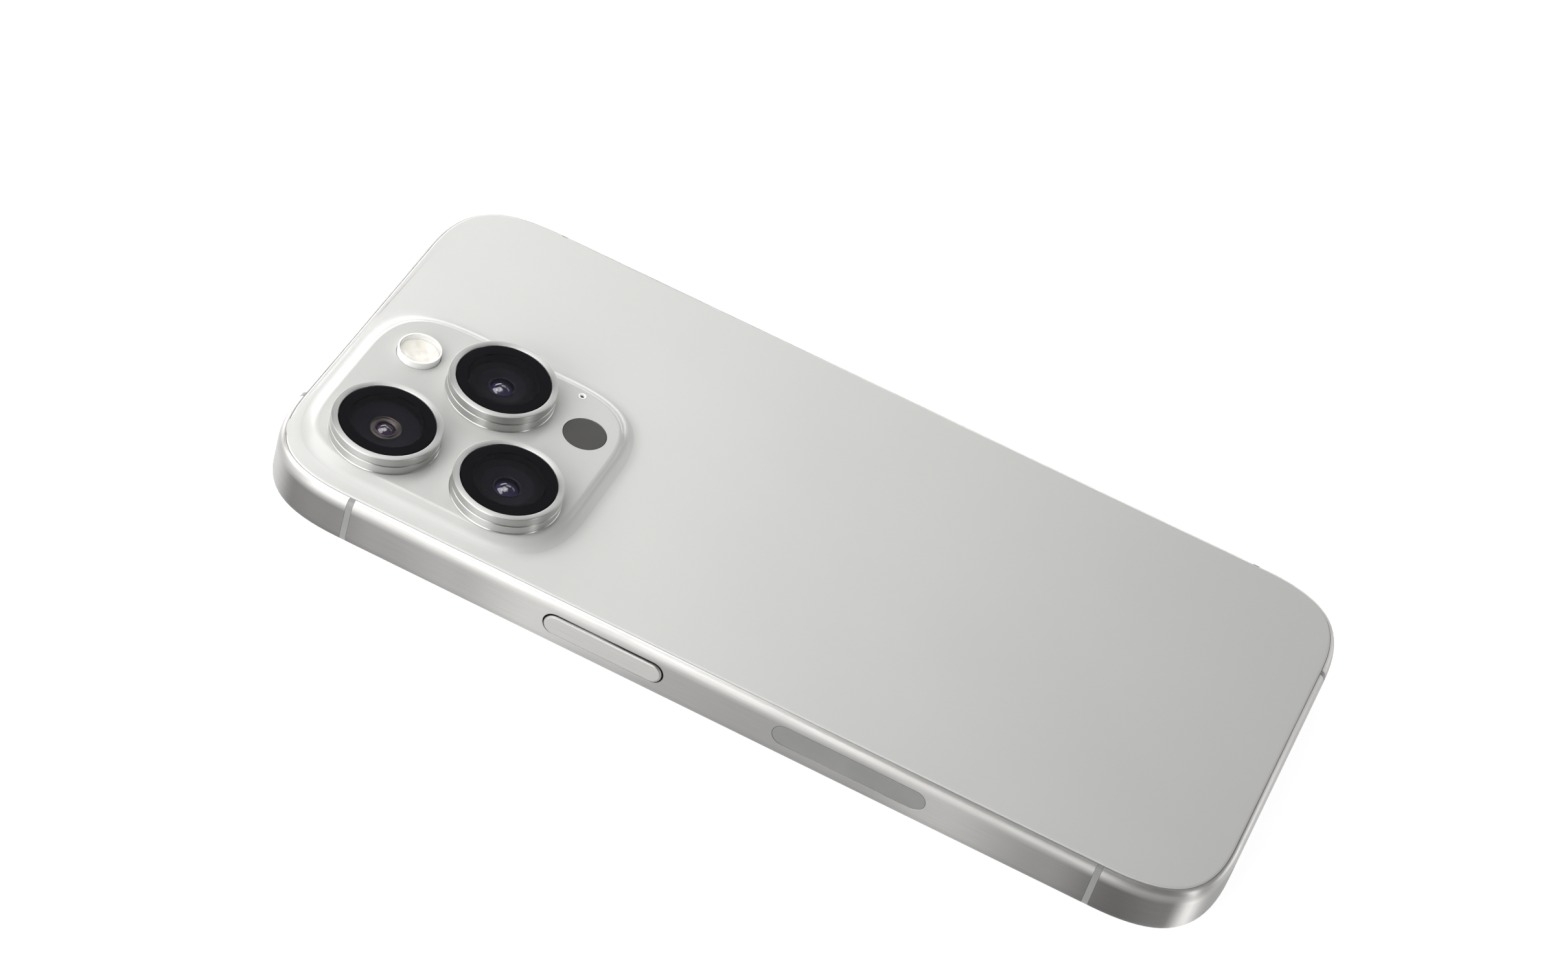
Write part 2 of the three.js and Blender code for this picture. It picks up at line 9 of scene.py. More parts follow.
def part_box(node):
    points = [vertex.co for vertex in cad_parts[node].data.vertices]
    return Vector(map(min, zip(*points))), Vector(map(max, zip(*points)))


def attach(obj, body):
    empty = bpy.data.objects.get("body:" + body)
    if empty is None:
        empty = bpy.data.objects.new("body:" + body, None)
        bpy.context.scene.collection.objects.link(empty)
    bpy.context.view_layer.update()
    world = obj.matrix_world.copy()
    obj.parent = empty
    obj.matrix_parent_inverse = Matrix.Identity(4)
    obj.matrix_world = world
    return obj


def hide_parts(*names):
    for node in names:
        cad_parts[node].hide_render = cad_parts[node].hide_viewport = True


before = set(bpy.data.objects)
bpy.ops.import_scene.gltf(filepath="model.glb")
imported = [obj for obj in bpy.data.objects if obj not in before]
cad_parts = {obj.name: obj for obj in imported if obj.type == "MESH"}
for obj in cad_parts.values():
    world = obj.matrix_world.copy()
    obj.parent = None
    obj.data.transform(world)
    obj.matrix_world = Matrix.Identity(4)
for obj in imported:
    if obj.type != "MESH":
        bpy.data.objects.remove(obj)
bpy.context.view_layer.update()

MM = 0.001
CAMERAS = ("ultrawide", "main", "tele")
BUTTONS = ("side_button", "volume_up_button", "volume_down_button", "action_button")


# ---- places read from the frame

def span(node):
    """Lowest and highest corner of a CAD node, in millimetres."""
    low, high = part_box(node)
    return low / MM, high / MM


def middle(node):
    low, high = span(node)
    return (low + high) / 2


def round_node(node):
    """Lowest and highest corner, foot of the axis and radius of a round CAD node, in millimetres."""
    low, high = span(node)
    centre = (low + high) / 2
    return low, high, (centre.x, centre.y, 0), (high.x - low.x) / 2


FRAME_LOW, FRAME_HIGH = span("side_frame")
HALF_X, HALF_Y = FRAME_HIGH.x, FRAME_HIGH.y
CORNER = 12.0  # corner radius of the band seen from above
SHOULDER_IN, SHOULDER_UP = 0.9, 1.56  # width and height of the rounded shoulder
GLASS_IN = 1.0  # band's outer face to the edge of both glasses
POCKET_IN = 0.93  # band's outer face to the pockets that hold the glasses
WALL = 2.3  # thickness of the band between the two pockets
BACK_LEDGE, FRONT_LEDGE = 7.25, 1.02
BACK_TOP = 8.25  # flat of the back glass
PLATEAU_TOP = span("back_glass")[1].z
PLATEAU = {"cx": -12.8, "cy": 49.9, "half_x": 17.05, "half_y": 19.1, "corner": 8.5, "slope": 4.2}

SHARP_ANGLE = math.radians(30)  # faces that meet at more than this keep a crisp edge


# ---- outlines, in millimetres

def bezier(a, b, c, d, steps):
    """Points on one cubic, without its last point."""
    points = []
    for i in range(steps):
        t = i / steps
        s = 1 - t
        points.append(a * s ** 3 + b * (3 * s * s * t) + c * (3 * s * t * t) + d * t ** 3)
    return points


def straight(a, b, steps):
    return [a.lerp(b, i / steps) for i in range(steps)]


def soft_rect(half_x, half_y, corner, corner_steps=20, side_steps=14, centre=(0, 0)):
    """Outline of a rectangle whose corners ease into the sides, counter-clockwise from the lower edge."""
    reach, handle = 1.28 * corner, 0.3543 * corner
    turns = []
    for sx, sy, flip in ((1, -1, False), (1, 1, True), (-1, 1, False), (-1, -1, True)):
        tip = Vector((sx * half_x, sy * half_y))
        along, up = Vector((-sx, 0)), Vector((0, -sy))
        arc = (tip + along * reach, tip + along * handle, tip + up * handle, tip + up * reach)
        turns.append(arc[::-1] if flip else arc)
    points = []
    for arc, following in zip(turns, turns[1:] + turns[:1]):
        points += bezier(*arc, corner_steps)
        points += straight(arc[3], following[0], side_steps)
    return [p + Vector(centre) for p in points]


def capsule(half_long, half_short, steps=14, side_steps=8):
    """Outline of a bar with fully round ends, lying along the first axis."""
    points = []
    run = half_long - half_short
    for sign in (1, -1):
        for i in range(steps):
            angle = -math.pi / 2 + math.pi * i / steps
            along, up = run + half_short * math.cos(angle), half_short * math.sin(angle)
            points.append(Vector((sign * along, sign * up)))
        start = Vector((sign * run, sign * half_short))
        points += straight(start, Vector((-sign * run, sign * half_short)), side_steps)
    return points


def circle(radius, steps=64):
    return [Vector((radius * math.cos(2 * math.pi * i / steps), radius * math.sin(2 * math.pi * i / steps)))
            for i in range(steps)]


def quarter_round(steps):
    """How far a unit quarter round has come in from its side and is still below its top, step by step."""
    angles = [math.pi / 2 * i / steps for i in range(steps + 1)]
    return [(1 - math.cos(angle), 1 - math.sin(angle)) for angle in angles]


# ---- mesh builders

def on_plan(point, height):
    """Plan point lying flat, height upwards."""
    return Vector((point.x, point.y, height))


def on_side(point, height):
    """Plan point standing on a long side: first axis along Y, second up, height along X."""
    return Vector((height, point.x, point.y))


def on_end(point, height):
    """Plan point standing on a short end: first axis along X, second up, height along Y."""
    return Vector((point.x, height, point.y))


def mark_sharp(bm):
    """Smooth shading, broken along the crisp edges."""
    for face in bm.faces:
        face.smooth = True
    for edge in bm.edges:
        if len(edge.link_faces) == 2:
            edge.smooth = edge.calc_face_angle(0) < SHARP_ANGLE


def finish_mesh(name, bm, location=(0, 0, 0)):
    bmesh.ops.remove_doubles(bm, verts=bm.verts, dist=1e-7)
    bmesh.ops.recalc_face_normals(bm, faces=bm.faces)
    mark_sharp(bm)
    mesh = bpy.data.meshes.new(name)
    bm.to_mesh(mesh)
    bm.free()
    obj = bpy.data.objects.new(name, mesh)
    obj.location = Vector(location) * MM
    bpy.context.scene.collection.objects.link(obj)
    return obj


def level(outline, height, place=on_plan):
    """One ring: an outline set at a height."""
    return [place(point, height) for point in outline]


def loft(name, rings, closed=False):
    """Skin over a stack of equal loops, capped at both ends, or closed from the last loop to the first."""
    bm = bmesh.new()
    loops = [[bm.verts.new(Vector(p) * MM) for p in ring] for ring in rings]
    pairs = list(zip(loops, loops[1:]))
    if closed:
        pairs.append((loops[-1], loops[0]))
    for lower, upper in pairs:
        for i in range(len(lower)):
            j = (i + 1) % len(lower)
            bm.faces.new((lower[i], lower[j], upper[j], upper[i]))
    if not closed:
        bm.faces.new(loops[0][::-1])
        bm.faces.new(loops[-1])
    return finish_mesh(name, bm)


def turned(name, profile, location=(0, 0, 0), steps=96):
    """Solid of revolution about Z; a profile that doesn't start and end on the axis closes on itself."""
    bm = bmesh.new()
    rows = []
    for radius, z in profile:
        if radius < 1e-6:
            rows.append([bm.verts.new(Vector((0, 0, z)) * MM)] * steps)
        else:
            rows.append([bm.verts.new(Vector((p.x, p.y, z)) * MM) for p in circle(radius, steps)])
    solid = profile[0][0] < 1e-6 and profile[-1][0] < 1e-6
    for lower, upper in zip(rows, rows[1:] + ([] if solid else rows[:1])):
        for i in range(steps):
            j = (i + 1) % steps
            corners = list(dict.fromkeys((lower[i], lower[j], upper[j], upper[i])))
            if len(corners) > 2:
                bm.faces.new(corners)
    return finish_mesh(name, bm, location)


def rounded(outside, inside, low, high, ease, steps=5):
    """Profile points (radius, z) with a quarter-round edge from the outside up to the top."""
    points = [(outside - ease * across, high - ease * down) for across, down in quarter_round(steps)]
    return [(outside, low)] + points + [(inside, high)]


def bake_modifiers(obj):
    bpy.context.view_layer.update()
    depsgraph = bpy.context.evaluated_depsgraph_get()
    mesh = bpy.data.meshes.new_from_object(obj.evaluated_get(depsgraph))
    obj.modifiers.clear()
    obj.data = mesh


def settle_normals(obj):
    """Keeps the flat faces flat in the shading, right up to their rounded edges."""
    modifier = obj.modifiers.new("normals", "WEIGHTED_NORMAL")
    modifier.keep_sharp = True
    modifier.weight = 90
    bake_modifiers(obj)


def cut(obj, tools):
    """Cuts obj with every tool and takes the tools away."""
    for tool in tools:
        modifier = obj.modifiers.new("cut", "BOOLEAN")
        modifier.operation = "DIFFERENCE"
        modifier.solver = "EXACT"
        modifier.object = tool
    bake_modifiers(obj)
    for tool in tools:
        bpy.data.objects.remove(tool)


def open_mesh(obj):
    """Editable copy of a cut mesh, welded."""
    bm = bmesh.new()
    bm.from_mesh(obj.data)
    bmesh.ops.remove_doubles(bm, verts=bm.verts, dist=2e-7)
    return bm


def close_mesh(obj, bm):
    """Puts an edited copy back, with its crisp edges marked."""
    mark_sharp(bm)
    bm.to_mesh(obj.data)
    bm.free()


def soften_rims(obj, chosen, width):
    """Rounds the steep edges for which chosen(a, b) is true."""
    bm = open_mesh(obj)
    rims = [e for e in bm.edges if len(e.link_faces) == 2 and e.calc_face_angle(0) > math.radians(60)
            and chosen(e.verts[0].co / MM, e.verts[1].co / MM)]
    bmesh.ops.bevel(bm, geom=rims, offset=width * MM, offset_type="OFFSET", segments=3,
                    profile=0.5, affect="EDGES", clamp_overlap=True)
    close_mesh(obj, bm)


# ---- materials

def new_material(name, color, roughness, metallic=0.0, **inputs):
    material = bpy.data.materials.new(name)
    material.use_nodes = True
    shader = material.node_tree.nodes["Principled BSDF"]
    shader.inputs["Base Color"].default_value = (*color, 1)
    shader.inputs["Roughness"].default_value = roughness
    shader.inputs["Metallic"].default_value = metallic
    for key, value in inputs.items():
        shader.inputs[key.replace("_", " ")].default_value = value
    return material, material.node_tree, shader


def add(tree, kind, **values):
    node = tree.nodes.new("ShaderNode" + kind)
    for key, value in values.items():
        if key in node.inputs:
            node.inputs[key].default_value = value
        else:
            setattr(node, key, value)
    return node


def wire(tree, output, socket):
    tree.links.new(output, socket)


def paint(tree, shader, color):
    wire(tree, color, shader.inputs["Base Color"])


def coordinates(tree, scale=(1, 1, 1)):
    """Object coordinates, scaled along each axis."""
    source = add(tree, "TexCoord")
    mapping = add(tree, "Mapping")
    mapping.inputs["Scale"].default_value = scale
    wire(tree, source.outputs["Object"], mapping.inputs["Vector"])
    return mapping.outputs["Vector"]


def split_place(tree, space="Object"):
    """Outputs X, Y and Z of the shaded point."""
    source = add(tree, "TexCoord")
    split = add(tree, "SeparateXYZ")
    wire(tree, source.outputs[space], split.inputs["Vector"])
    return split.outputs


def dimmed(tree, color, factor):
    """A colour socket times a number socket."""
    node = add(tree, "VectorMath", operation="SCALE")
    wire(tree, color, node.inputs[0])
    wire(tree, factor, node.inputs["Scale"])
    return node.outputs["Vector"]


def noise(tree, vector, scale, detail, rough):
    node = add(tree, "TexNoise", Scale=scale, Detail=detail, Roughness=rough)
    wire(tree, vector, node.inputs["Vector"])
    return node.outputs["Fac"]


def ramp(tree, factor, low, high, start=0.3, end=0.7):
    """Maps a 0 to 1 factor from low to high, both numbers."""
    node = add(tree, "MapRange")
    node.inputs["From Min"].default_value = start
    node.inputs["From Max"].default_value = end
    node.inputs["To Min"].default_value = low
    node.inputs["To Max"].default_value = high
    wire(tree, factor, node.inputs["Value"])
    return node.outputs["Result"]


def uneven_roughness(tree, shader, vector, scale, low, high, detail=3.0):
    """Lets a shader's roughness drift between low and high."""
    clouds = noise(tree, vector, scale, detail, 0.5)
    wire(tree, ramp(tree, clouds, low, high), shader.inputs["Roughness"])


def tint(tree, factor, dark, light, start=0.3, end=0.7):
    node = add(tree, "ValToRGB")
    node.color_ramp.elements[0].position = start
    node.color_ramp.elements[0].color = (*dark, 1)
    node.color_ramp.elements[1].position = end
    node.color_ramp.elements[1].color = (*light, 1)
    wire(tree, factor, node.inputs["Fac"])
    return node.outputs["Color"]


def bump(tree, shader, height, strength, distance):
    node = add(tree, "Bump")
    node.inputs["Strength"].default_value = strength
    node.inputs["Distance"].default_value = distance
    wire(tree, height, node.inputs["Height"])
    wire(tree, node.outputs["Normal"], shader.inputs["Normal"])


def scaled(color, factor):
    return tuple(channel * factor for channel in color)


ACROSS_BRUSH = 0.8  # how far highlights spread across the brush lines


def brushed_metal(name, color, roughness, contrast, along):
    """Satin metal with fine brush lines; along says how densely they vary on each axis."""
    material, tree, shader = new_material(
        name, color, roughness, 1.0, Anisotropic=ACROSS_BRUSH, Anisotropic_Rotation=0.25)
    lines = noise(tree, coordinates(tree, along), 1.0, 5.0, 0.7)
    shade = tint(tree, lines, scaled(color, 1 - contrast), scaled(color, 1 + contrast))
    paint(tree, shader, shade)
    uneven_roughness(tree, shader, coordinates(tree, (90, 90, 90)), 1.0, roughness - 0.03, roughness + 0.04)
    bump(tree, shader, lines, 0.35, 2e-6)
    return material


def turned_metal(name, color, roughness, contrast):
    """Metal brushed in circles about its own axis."""
    material, tree, shader = new_material(
        name, color, roughness, 1.0, Anisotropic=ACROSS_BRUSH, Anisotropic_Rotation=0.25)
    at = split_place(tree)
    flat = add(tree, "CombineXYZ")
    wire(tree, at["X"], flat.inputs["X"])
    wire(tree, at["Y"], flat.inputs["Y"])
    length = add(tree, "VectorMath", operation="LENGTH")
    wire(tree, flat.outputs["Vector"], length.inputs[0])
    polar = add(tree, "CombineXYZ")
    wire(tree, length.outputs["Value"], polar.inputs["X"])
    wire(tree, at["Z"], polar.inputs["Z"])
    stretch = add(tree, "Mapping")
    stretch.inputs["Scale"].default_value = (14000, 1, 14000)
    wire(tree, polar.outputs["Vector"], stretch.inputs["Vector"])
    lines = noise(tree, stretch.outputs["Vector"], 1.0, 4.0, 0.6)
    shade = tint(tree, lines, scaled(color, 1 - contrast), scaled(color, 1 + contrast))
    paint(tree, shader, shade)
    bump(tree, shader, lines, 0.25, 1.5e-6)
    return material


FAR_END_PAINTED_SHADE = 0.88  # painted shade: tone of the white glass at the port end, against the camera end, standing in for the light falling off


def back_material():
    """White glass: silky on the flat, polished on the plateau, with a soft change on the foot, and painted
    shade that darkens it towards the port end.
    """
    etched, polished = (0.485, 0.483, 0.471), (0.415, 0.413, 0.402)
    material, tree, shader = new_material("back_glass", etched, 0.42, 0.0, Specular_IOR_Level=0.5)
    at = split_place(tree)
    height = ramp(tree, at["Z"], 0, 1, (BACK_TOP + 0.005) * MM, (BACK_TOP + 0.22) * MM)
    base = tint(tree, height, etched, polished, 0.0, 1.0)
    clouds = noise(tree, coordinates(tree), 35, 3.0, 0.5)
    # painted shade: darker towards the port end, standing in for the light falling off away from the camera
    # end; the mottle times it
    painted_falloff = ramp(tree, at["Y"], FAR_END_PAINTED_SHADE, 1, -HALF_Y * MM, 35 * MM)
    mottle = add(tree, "Math", operation="MULTIPLY")
    wire(tree, painted_falloff, mottle.inputs[0])
    wire(tree, ramp(tree, clouds, 0.985, 1.015), mottle.inputs[1])
    shade = dimmed(tree, base, mottle.outputs["Value"])
    paint(tree, shader, shade)
    grain = noise(tree, coordinates(tree), 26000, 2.0, 0.6)
    silk = ramp(tree, grain, 0.39, 0.46)
    polish = add(tree, "Math", operation="MULTIPLY_ADD")
    polish.inputs[1].default_value = -0.18
    wire(tree, height, polish.inputs[0])
    wire(tree, silk, polish.inputs[2])
    wire(tree, polish.outputs["Value"], shader.inputs["Roughness"])
    bump(tree, shader, grain, 0.08, 1.2e-6)
    return material


def dark_gloss(name, color, roughness, level, mottle=0.15):
    """Glossy dark surface with a faint mottle; level is how strongly it mirrors."""
    material, tree, shader = new_material(
        name, color, roughness, 0.0, Specular_IOR_Level=level)
    clouds = noise(tree, coordinates(tree), 300, 3.0, 0.5)
    shade = tint(tree, clouds, scaled(color, 1 - mottle), scaled(color, 1 + mottle))
    paint(tree, shader, shade)
    wire(tree, ramp(tree, clouds, roughness * 0.8, roughness * 1.2), shader.inputs["Roughness"])
    return material


def screen_material():
    """Switched-off display: dark glass with a faint fine pixel grid."""
    material, tree, shader = new_material(
        "screen", (0.010, 0.010, 0.012), 0.05, 0.0, Specular_IOR_Level=0.5)
    pixels = add(tree, "TexBrick")
    pixels.offset = 0
    pixels.inputs["Color1"].default_value = (0.013, 0.013, 0.016, 1)
    pixels.inputs["Color2"].default_value = (0.010, 0.011, 0.013, 1)
    pixels.inputs["Mortar"].default_value = (0.005, 0.005, 0.006, 1)
    pixels.inputs["Scale"].default_value = 3000
    wire(tree, coordinates(tree), pixels.inputs["Vector"])
    paint(tree, shader, pixels.outputs["Color"])
    uneven_roughness(tree, shader, coordinates(tree), 200, 0.04, 0.07)
    return material


def moulded(name, color, roughness, grain=9000, strength=0.2):
    """Matt moulded plastic or film with a fine texture."""
    material, tree, shader = new_material(name, color, roughness)
    fine = noise(tree, coordinates(tree), grain, 2.0, 0.6)
    clouds = noise(tree, coordinates(tree), 220, 3.0, 0.5)
    shade = tint(tree, clouds, scaled(color, 0.93), scaled(color, 1.07))
    paint(tree, shader, shade)
    wire(tree, ramp(tree, clouds, roughness - 0.05, roughness + 0.05), shader.inputs["Roughness"])
    bump(tree, shader, fine, strength, 4e-6)
    return material


def woven_mesh():
    """Acoustic mesh: crossed fine threads."""
    material, tree, shader = new_material("acoustic_mesh", (0.03, 0.03, 0.033), 0.55)
    threads = []
    for axis in ("X", "Y"):
        wave = add(tree, "TexWave", wave_type="BANDS", bands_direction=axis)
        wave.inputs["Scale"].default_value = 2600
        wire(tree, coordinates(tree), wave.inputs["Vector"])
        threads.append(wave.outputs["Fac"])
    weave = add(tree, "Math", operation="MAXIMUM")
    wire(tree, threads[0], weave.inputs[0])
    wire(tree, threads[1], weave.inputs[1])
    shade = tint(tree, weave.outputs["Value"], (0.005, 0.005, 0.006), (0.05, 0.05, 0.055))
    paint(tree, shader, shade)
    bump(tree, shader, weave.outputs["Value"], 0.6, 3e-5)
    return material


def coated_lens(name, dark, light):
    """Lens element with a coloured coating that shifts towards its rim."""
    material, tree, shader = new_material(
        name, dark, 0.02, 0.0, Specular_IOR_Level=0.9, Coat_Weight=1.0, Coat_Roughness=0.01)
    facing = add(tree, "TexGradient", gradient_type="SPHERICAL")
    wire(tree, coordinates(tree, (450, 450, 0)), facing.inputs["Vector"])
    shade = tint(tree, facing.outputs["Fac"], light, dark, 0.0, 0.6)
    paint(tree, shader, shade)
    return material


def clear_film():
    """Coated clear window: nearly all light passes."""
    material, tree, shader = new_material("clear_window", (0.004, 0.004, 0.006), 0.03, 0.0, Alpha=0.06)
    uneven_roughness(tree, shader, coordinates(tree), 300, 0.02, 0.04, 2.0)
    return material


def flash_glass():
    material, tree, shader = new_material(
        "flash_glass", (0.93, 0.92, 0.89), 0.08, 0.0, Alpha=0.28, Coat_Weight=0.5, Coat_Roughness=0.02)
    uneven_roughness(tree, shader, coordinates(tree), 500, 0.05, 0.12, 2.0)
    return material


def flash_reflector():
    """Bright faceted bowl, warm towards the middle."""
    material, tree, shader = new_material("flash_reflector", (0.9, 0.88, 0.82), 0.25)
    cells = add(tree, "TexVoronoi", feature="F1")
    cells.inputs["Scale"].default_value = 900
    wire(tree, coordinates(tree), cells.inputs["Vector"])
    shade = tint(tree, cells.outputs["Distance"], (0.98, 0.97, 0.93), (0.62, 0.58, 0.48), 0.0, 0.7)
    paint(tree, shader, shade)
    bump(tree, shader, cells.outputs["Distance"], 0.5, 6e-5)
    return material


# Painted highlights and painted shade on the band's flat sides along its length, standing in for reflections
# of the studio lights: millimetres from the middle, and brightness.
BAND_PAINTED_SHEEN = (
    (-73.3, 0.80), (-72.3, 1.0), (-70.4, 2.0), (-67.8, 0.60), (-60, 0.40), (-50, 0.74),
    (-35, 1.14), (-21, 0.80), (-5, 0.74), (7, 0.78), (17, 0.97), (28, 1.15),
    (40, 0.80), (52, 0.62), (60, 0.44), (66, 0.45), (70.5, 1.25), (73.3, 1.0),
)
EVEN_TONES = ((-73.3, 1.0), (73.3, 1.0))
SHOULDER_PAINTED_HIGHLIGHT, CREST_PAINTED_HIGHLIGHT = 1.18, 2.0  # painted highlight on the rounded shoulder, and a brighter painted highlight right beside the back glass
FLAT_END, SHOULDER_START = 6.0, 7.2  # heights between which the flat's painted sheen gives way to the shoulder's painted highlight
CREST_START, CREST_END = 7.6, 8.15


def titanium(name, color, painted_tones):
    """Brushed titanium: fine level lines, painted highlights and painted shade along the flat of the sides,
    and a painted highlight on the shoulder that is brightest beside the back glass.
    """
    material, tree, shader = new_material(
        name, color, 0.46, 1.0, Anisotropic=ACROSS_BRUSH, Anisotropic_Rotation=0.25)
    lines = noise(tree, coordinates(tree, (110, 110, 15000)), 1.0, 4.0, 0.7)
    at = split_place(tree)
    reach = painted_tones[-1][0] * MM
    # painted highlights and painted shade along the length of the sides
    along = add(tree, "ValToRGB")
    along.color_ramp.interpolation = "EASE"
    wire(tree, ramp(tree, at["Y"], 0, 1, -reach, reach), along.inputs["Fac"])
    stops = along.color_ramp.elements
    while len(stops) < len(painted_tones):
        stops.new(0.5)
    for stop, (y, tone) in zip(stops, painted_tones):
        stop.position = 0.5 + 0.5 * y * MM / reach
        stop.color = (tone / 2, tone / 2, tone / 2, 1)
    tone = add(tree, "Math", operation="MULTIPLY")
    tone.inputs[1].default_value = 2
    wire(tree, along.outputs["Color"], tone.inputs[0])
    # painted highlight on the shoulder, brightest right beside the back glass, in place of the flat's painted
    # sheen
    flat = ramp(tree, at["Z"], 1, 0, FLAT_END * MM, SHOULDER_START * MM)
    painted_shoulder_highlight = ramp(tree, at["Z"], SHOULDER_PAINTED_HIGHLIGHT, CREST_PAINTED_HIGHLIGHT, CREST_START * MM, CREST_END * MM)
    mixed = add(tree, "Mix", data_type="FLOAT")
    wire(tree, painted_shoulder_highlight, mixed.inputs["A"])
    wire(tree, flat, mixed.inputs["Factor"])
    wire(tree, tone.outputs["Value"], mixed.inputs["B"])
    shade = tint(tree, lines, scaled(color, 0.91), scaled(color, 1.09))
    paint(tree, shader, dimmed(tree, shade, mixed.outputs["Result"]))
    uneven_roughness(tree, shader, coordinates(tree, (90, 90, 90)), 1.0, 0.42, 0.50)
    bump(tree, shader, lines, 0.35, 4e-6)
    return material


# the band's titanium carries painted highlights and painted shade along its sides, and a painted highlight on
# its shoulder
TITANIUM_WITH_PAINTED_SHEEN = titanium("titanium", (0.335, 0.331, 0.323), BAND_PAINTED_SHEEN)
BUTTON_METAL = titanium("button_titanium", (0.36, 0.356, 0.347), EVEN_TONES)
RING_METAL = turned_metal("ring_metal", (0.41, 0.41, 0.40), 0.42, 0.09)
COLLAR_METAL = turned_metal("collar_metal", (0.50, 0.50, 0.487), 0.38, 0.07)
STEEL = brushed_metal("steel", (0.50, 0.50, 0.51), 0.34, 0.08, (200, 3000, 200))
BACK_GLASS = back_material()
COVER_BLACK = dark_gloss("cover_black", (0.0022, 0.0022, 0.0034), 0.05, 0.03)
DISPLAY_BLACK = dark_gloss("display_black", (0.004, 0.004, 0.005), 0.04, 0.5)
SCREEN = screen_material()
SCANNER = dark_gloss("scanner_smoke", (0.052, 0.051, 0.047), 0.12, 0.12, 0.03)
BARREL_DARK = moulded("barrel_dark", (0.010, 0.0095, 0.016), 0.45, 12000, 0.15)
BARREL_VIOLET = dark_gloss("barrel_violet", (0.0035, 0.0033, 0.006), 0.5, 0.03)
BARREL_BLACK = dark_gloss("barrel_black", (0.0018, 0.0018, 0.0028), 0.6, 0.02)
STOP_METAL = turned_metal("stop_metal", (0.10, 0.085, 0.082), 0.35, 0.1)
STOP_DARK = turned_metal("stop_dark", (0.022, 0.020, 0.032), 0.3, 0.1)
LENS_VIOLET = coated_lens("lens_violet", (0.012, 0.009, 0.028), (0.06, 0.045, 0.16))
LENS_PINK = coated_lens("lens_pink", (0.03, 0.02, 0.04), (0.12, 0.06, 0.16))
GREY_PLASTIC = moulded("band_plastic", (0.19, 0.19, 0.187), 0.42)
WINDOW_PLASTIC = moulded("window_plastic", (0.155, 0.155, 0.152), 0.38)
BLACK_PLASTIC = moulded("black_plastic", (0.018, 0.018, 0.02), 0.5)
RUBBER = moulded("rubber", (0.02, 0.02, 0.021), 0.8)
TRIM_WHITE = moulded("trim_white", (0.80, 0.80, 0.785), 0.14, 6000, 0.02)
MESH = woven_mesh()
CLEAR = clear_film()
FLASH_GLASS = flash_glass()
FLASH_BOWL = flash_reflector()


def dress(piece, material, replaced, body="chassis"):
    """Gives a piece its material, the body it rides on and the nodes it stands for."""
    settle_normals(piece)
    piece.data.materials.clear()
    piece.data.materials.append(material)
    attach(piece, body)
    if replaced:
        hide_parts(*replaced)


# ---- metal band and its inserts

GRILLE_Z = 4.15
GRILLE_X = [-(10.4 + 2.5 * i) for i in range(5)] + [10.4 + 2.5 * i for i in range(3)]
GRILLE_RADIUS, SCREW_HOLE_RADIUS = 0.75, 0.83
END_CUT = (-69, -76)  # how far a cut in the port end reaches, along Y
BANDS = ("left_upper", "left_lower", "right_upper", "right_lower", "top", "bottom")
BAND_DEPTH = 1.05
BAND_GROW = 0.03  # room left round an antenna band in its slot


def shoulder():
    """Outer half-profile of the band's lower shoulder as (inset, z), from the glass to the flat side."""
    return [(SHOULDER_IN * left, FRAME_LOW.z + SHOULDER_UP * up) for up, left in quarter_round(10)]


def outer_profile():
    """Both shoulders and the flat side between them."""
    lower = shoulder()
    upper = [(inset, FRAME_LOW.z + FRAME_HIGH.z - z) for inset, z in reversed(lower)]
    side = [(0.0, lower[-1][1] + 0.15), (0.0, upper[0][1] - 0.15)]
    return lower + side + upper


def band_profile():
    """The whole section: the outer profile, then the two pockets and the wall between them."""
    return outer_profile() + [
        (POCKET_IN, FRAME_HIGH.z), (POCKET_IN, BACK_LEDGE), (WALL, BACK_LEDGE),
        (WALL, FRONT_LEDGE), (POCKET_IN, FRONT_LEDGE), (POCKET_IN, FRAME_LOW.z),
    ]


def outline_in(inset):
    return soft_rect(HALF_X - inset, HALF_Y - inset, CORNER - inset)


def prism(name, outline, place, low, high):
    """An outline run straight from low to high."""
    return loft(name, [level(outline, low, place), level(outline, high, place)])


def slot_tools():
    """Cutters for the button slots, the side window's pocket and the port's mouth."""
    tools = []
    for node in BUTTONS:
        low, high = span(node)
        side = 1 if high.x > 0 else -1
        half_long, half_short = (high.y - low.y) / 2 - 0.3, (high.z - low.z) / 2 - 0.3
        tool = prism("slot", capsule(half_long, half_short), on_side, side * 30, side * 38)
        tool.location = Vector((0, (low.y + high.y) / 2, (low.z + high.z) / 2)) * MM
        tools.append(tool)
    low, high = span("antenna_window")
    pocket = capsule((high.y - low.y) / 2 + 0.02, (high.z - low.z) / 2 + 0.02)
    tool = prism("pocket", pocket, on_side, high.x + 0.02, -38)
    tool.location = Vector((0, (low.y + high.y) / 2, (low.z + high.z) / 2)) * MM
    tools.append(tool)
    low, high = span("port_shell")
    mouth = capsule(high.x + 0.04, (high.z - low.z) / 2 + 0.04)
    tool = prism("mouth", mouth, on_end, *END_CUT)
    tool.location.z = (low.z + high.z) / 2 * MM
    tools.append(tool)
    return tools


def hole_tools():
    """Cutters for the grille and screw holes in the port end."""
    holes = [(x, GRILLE_Z, GRILLE_RADIUS) for x in GRILLE_X]
    for side in ("left", "right"):
        centre = middle(f"port_screw_{side}")
        holes.append((centre.x, centre.z, SCREW_HOLE_RADIUS))
    tools = []
    for x, z, radius in holes:
        tool = prism("hole", circle(radius, 32), on_end, *END_CUT)
        tool.location = Vector((x, 0, z)) * MM
        tools.append(tool)
    return tools


def on_long_side(low, high):
    """True for an antenna band on a long side, which is narrow along Y."""
    return high.y - low.y < 1.5


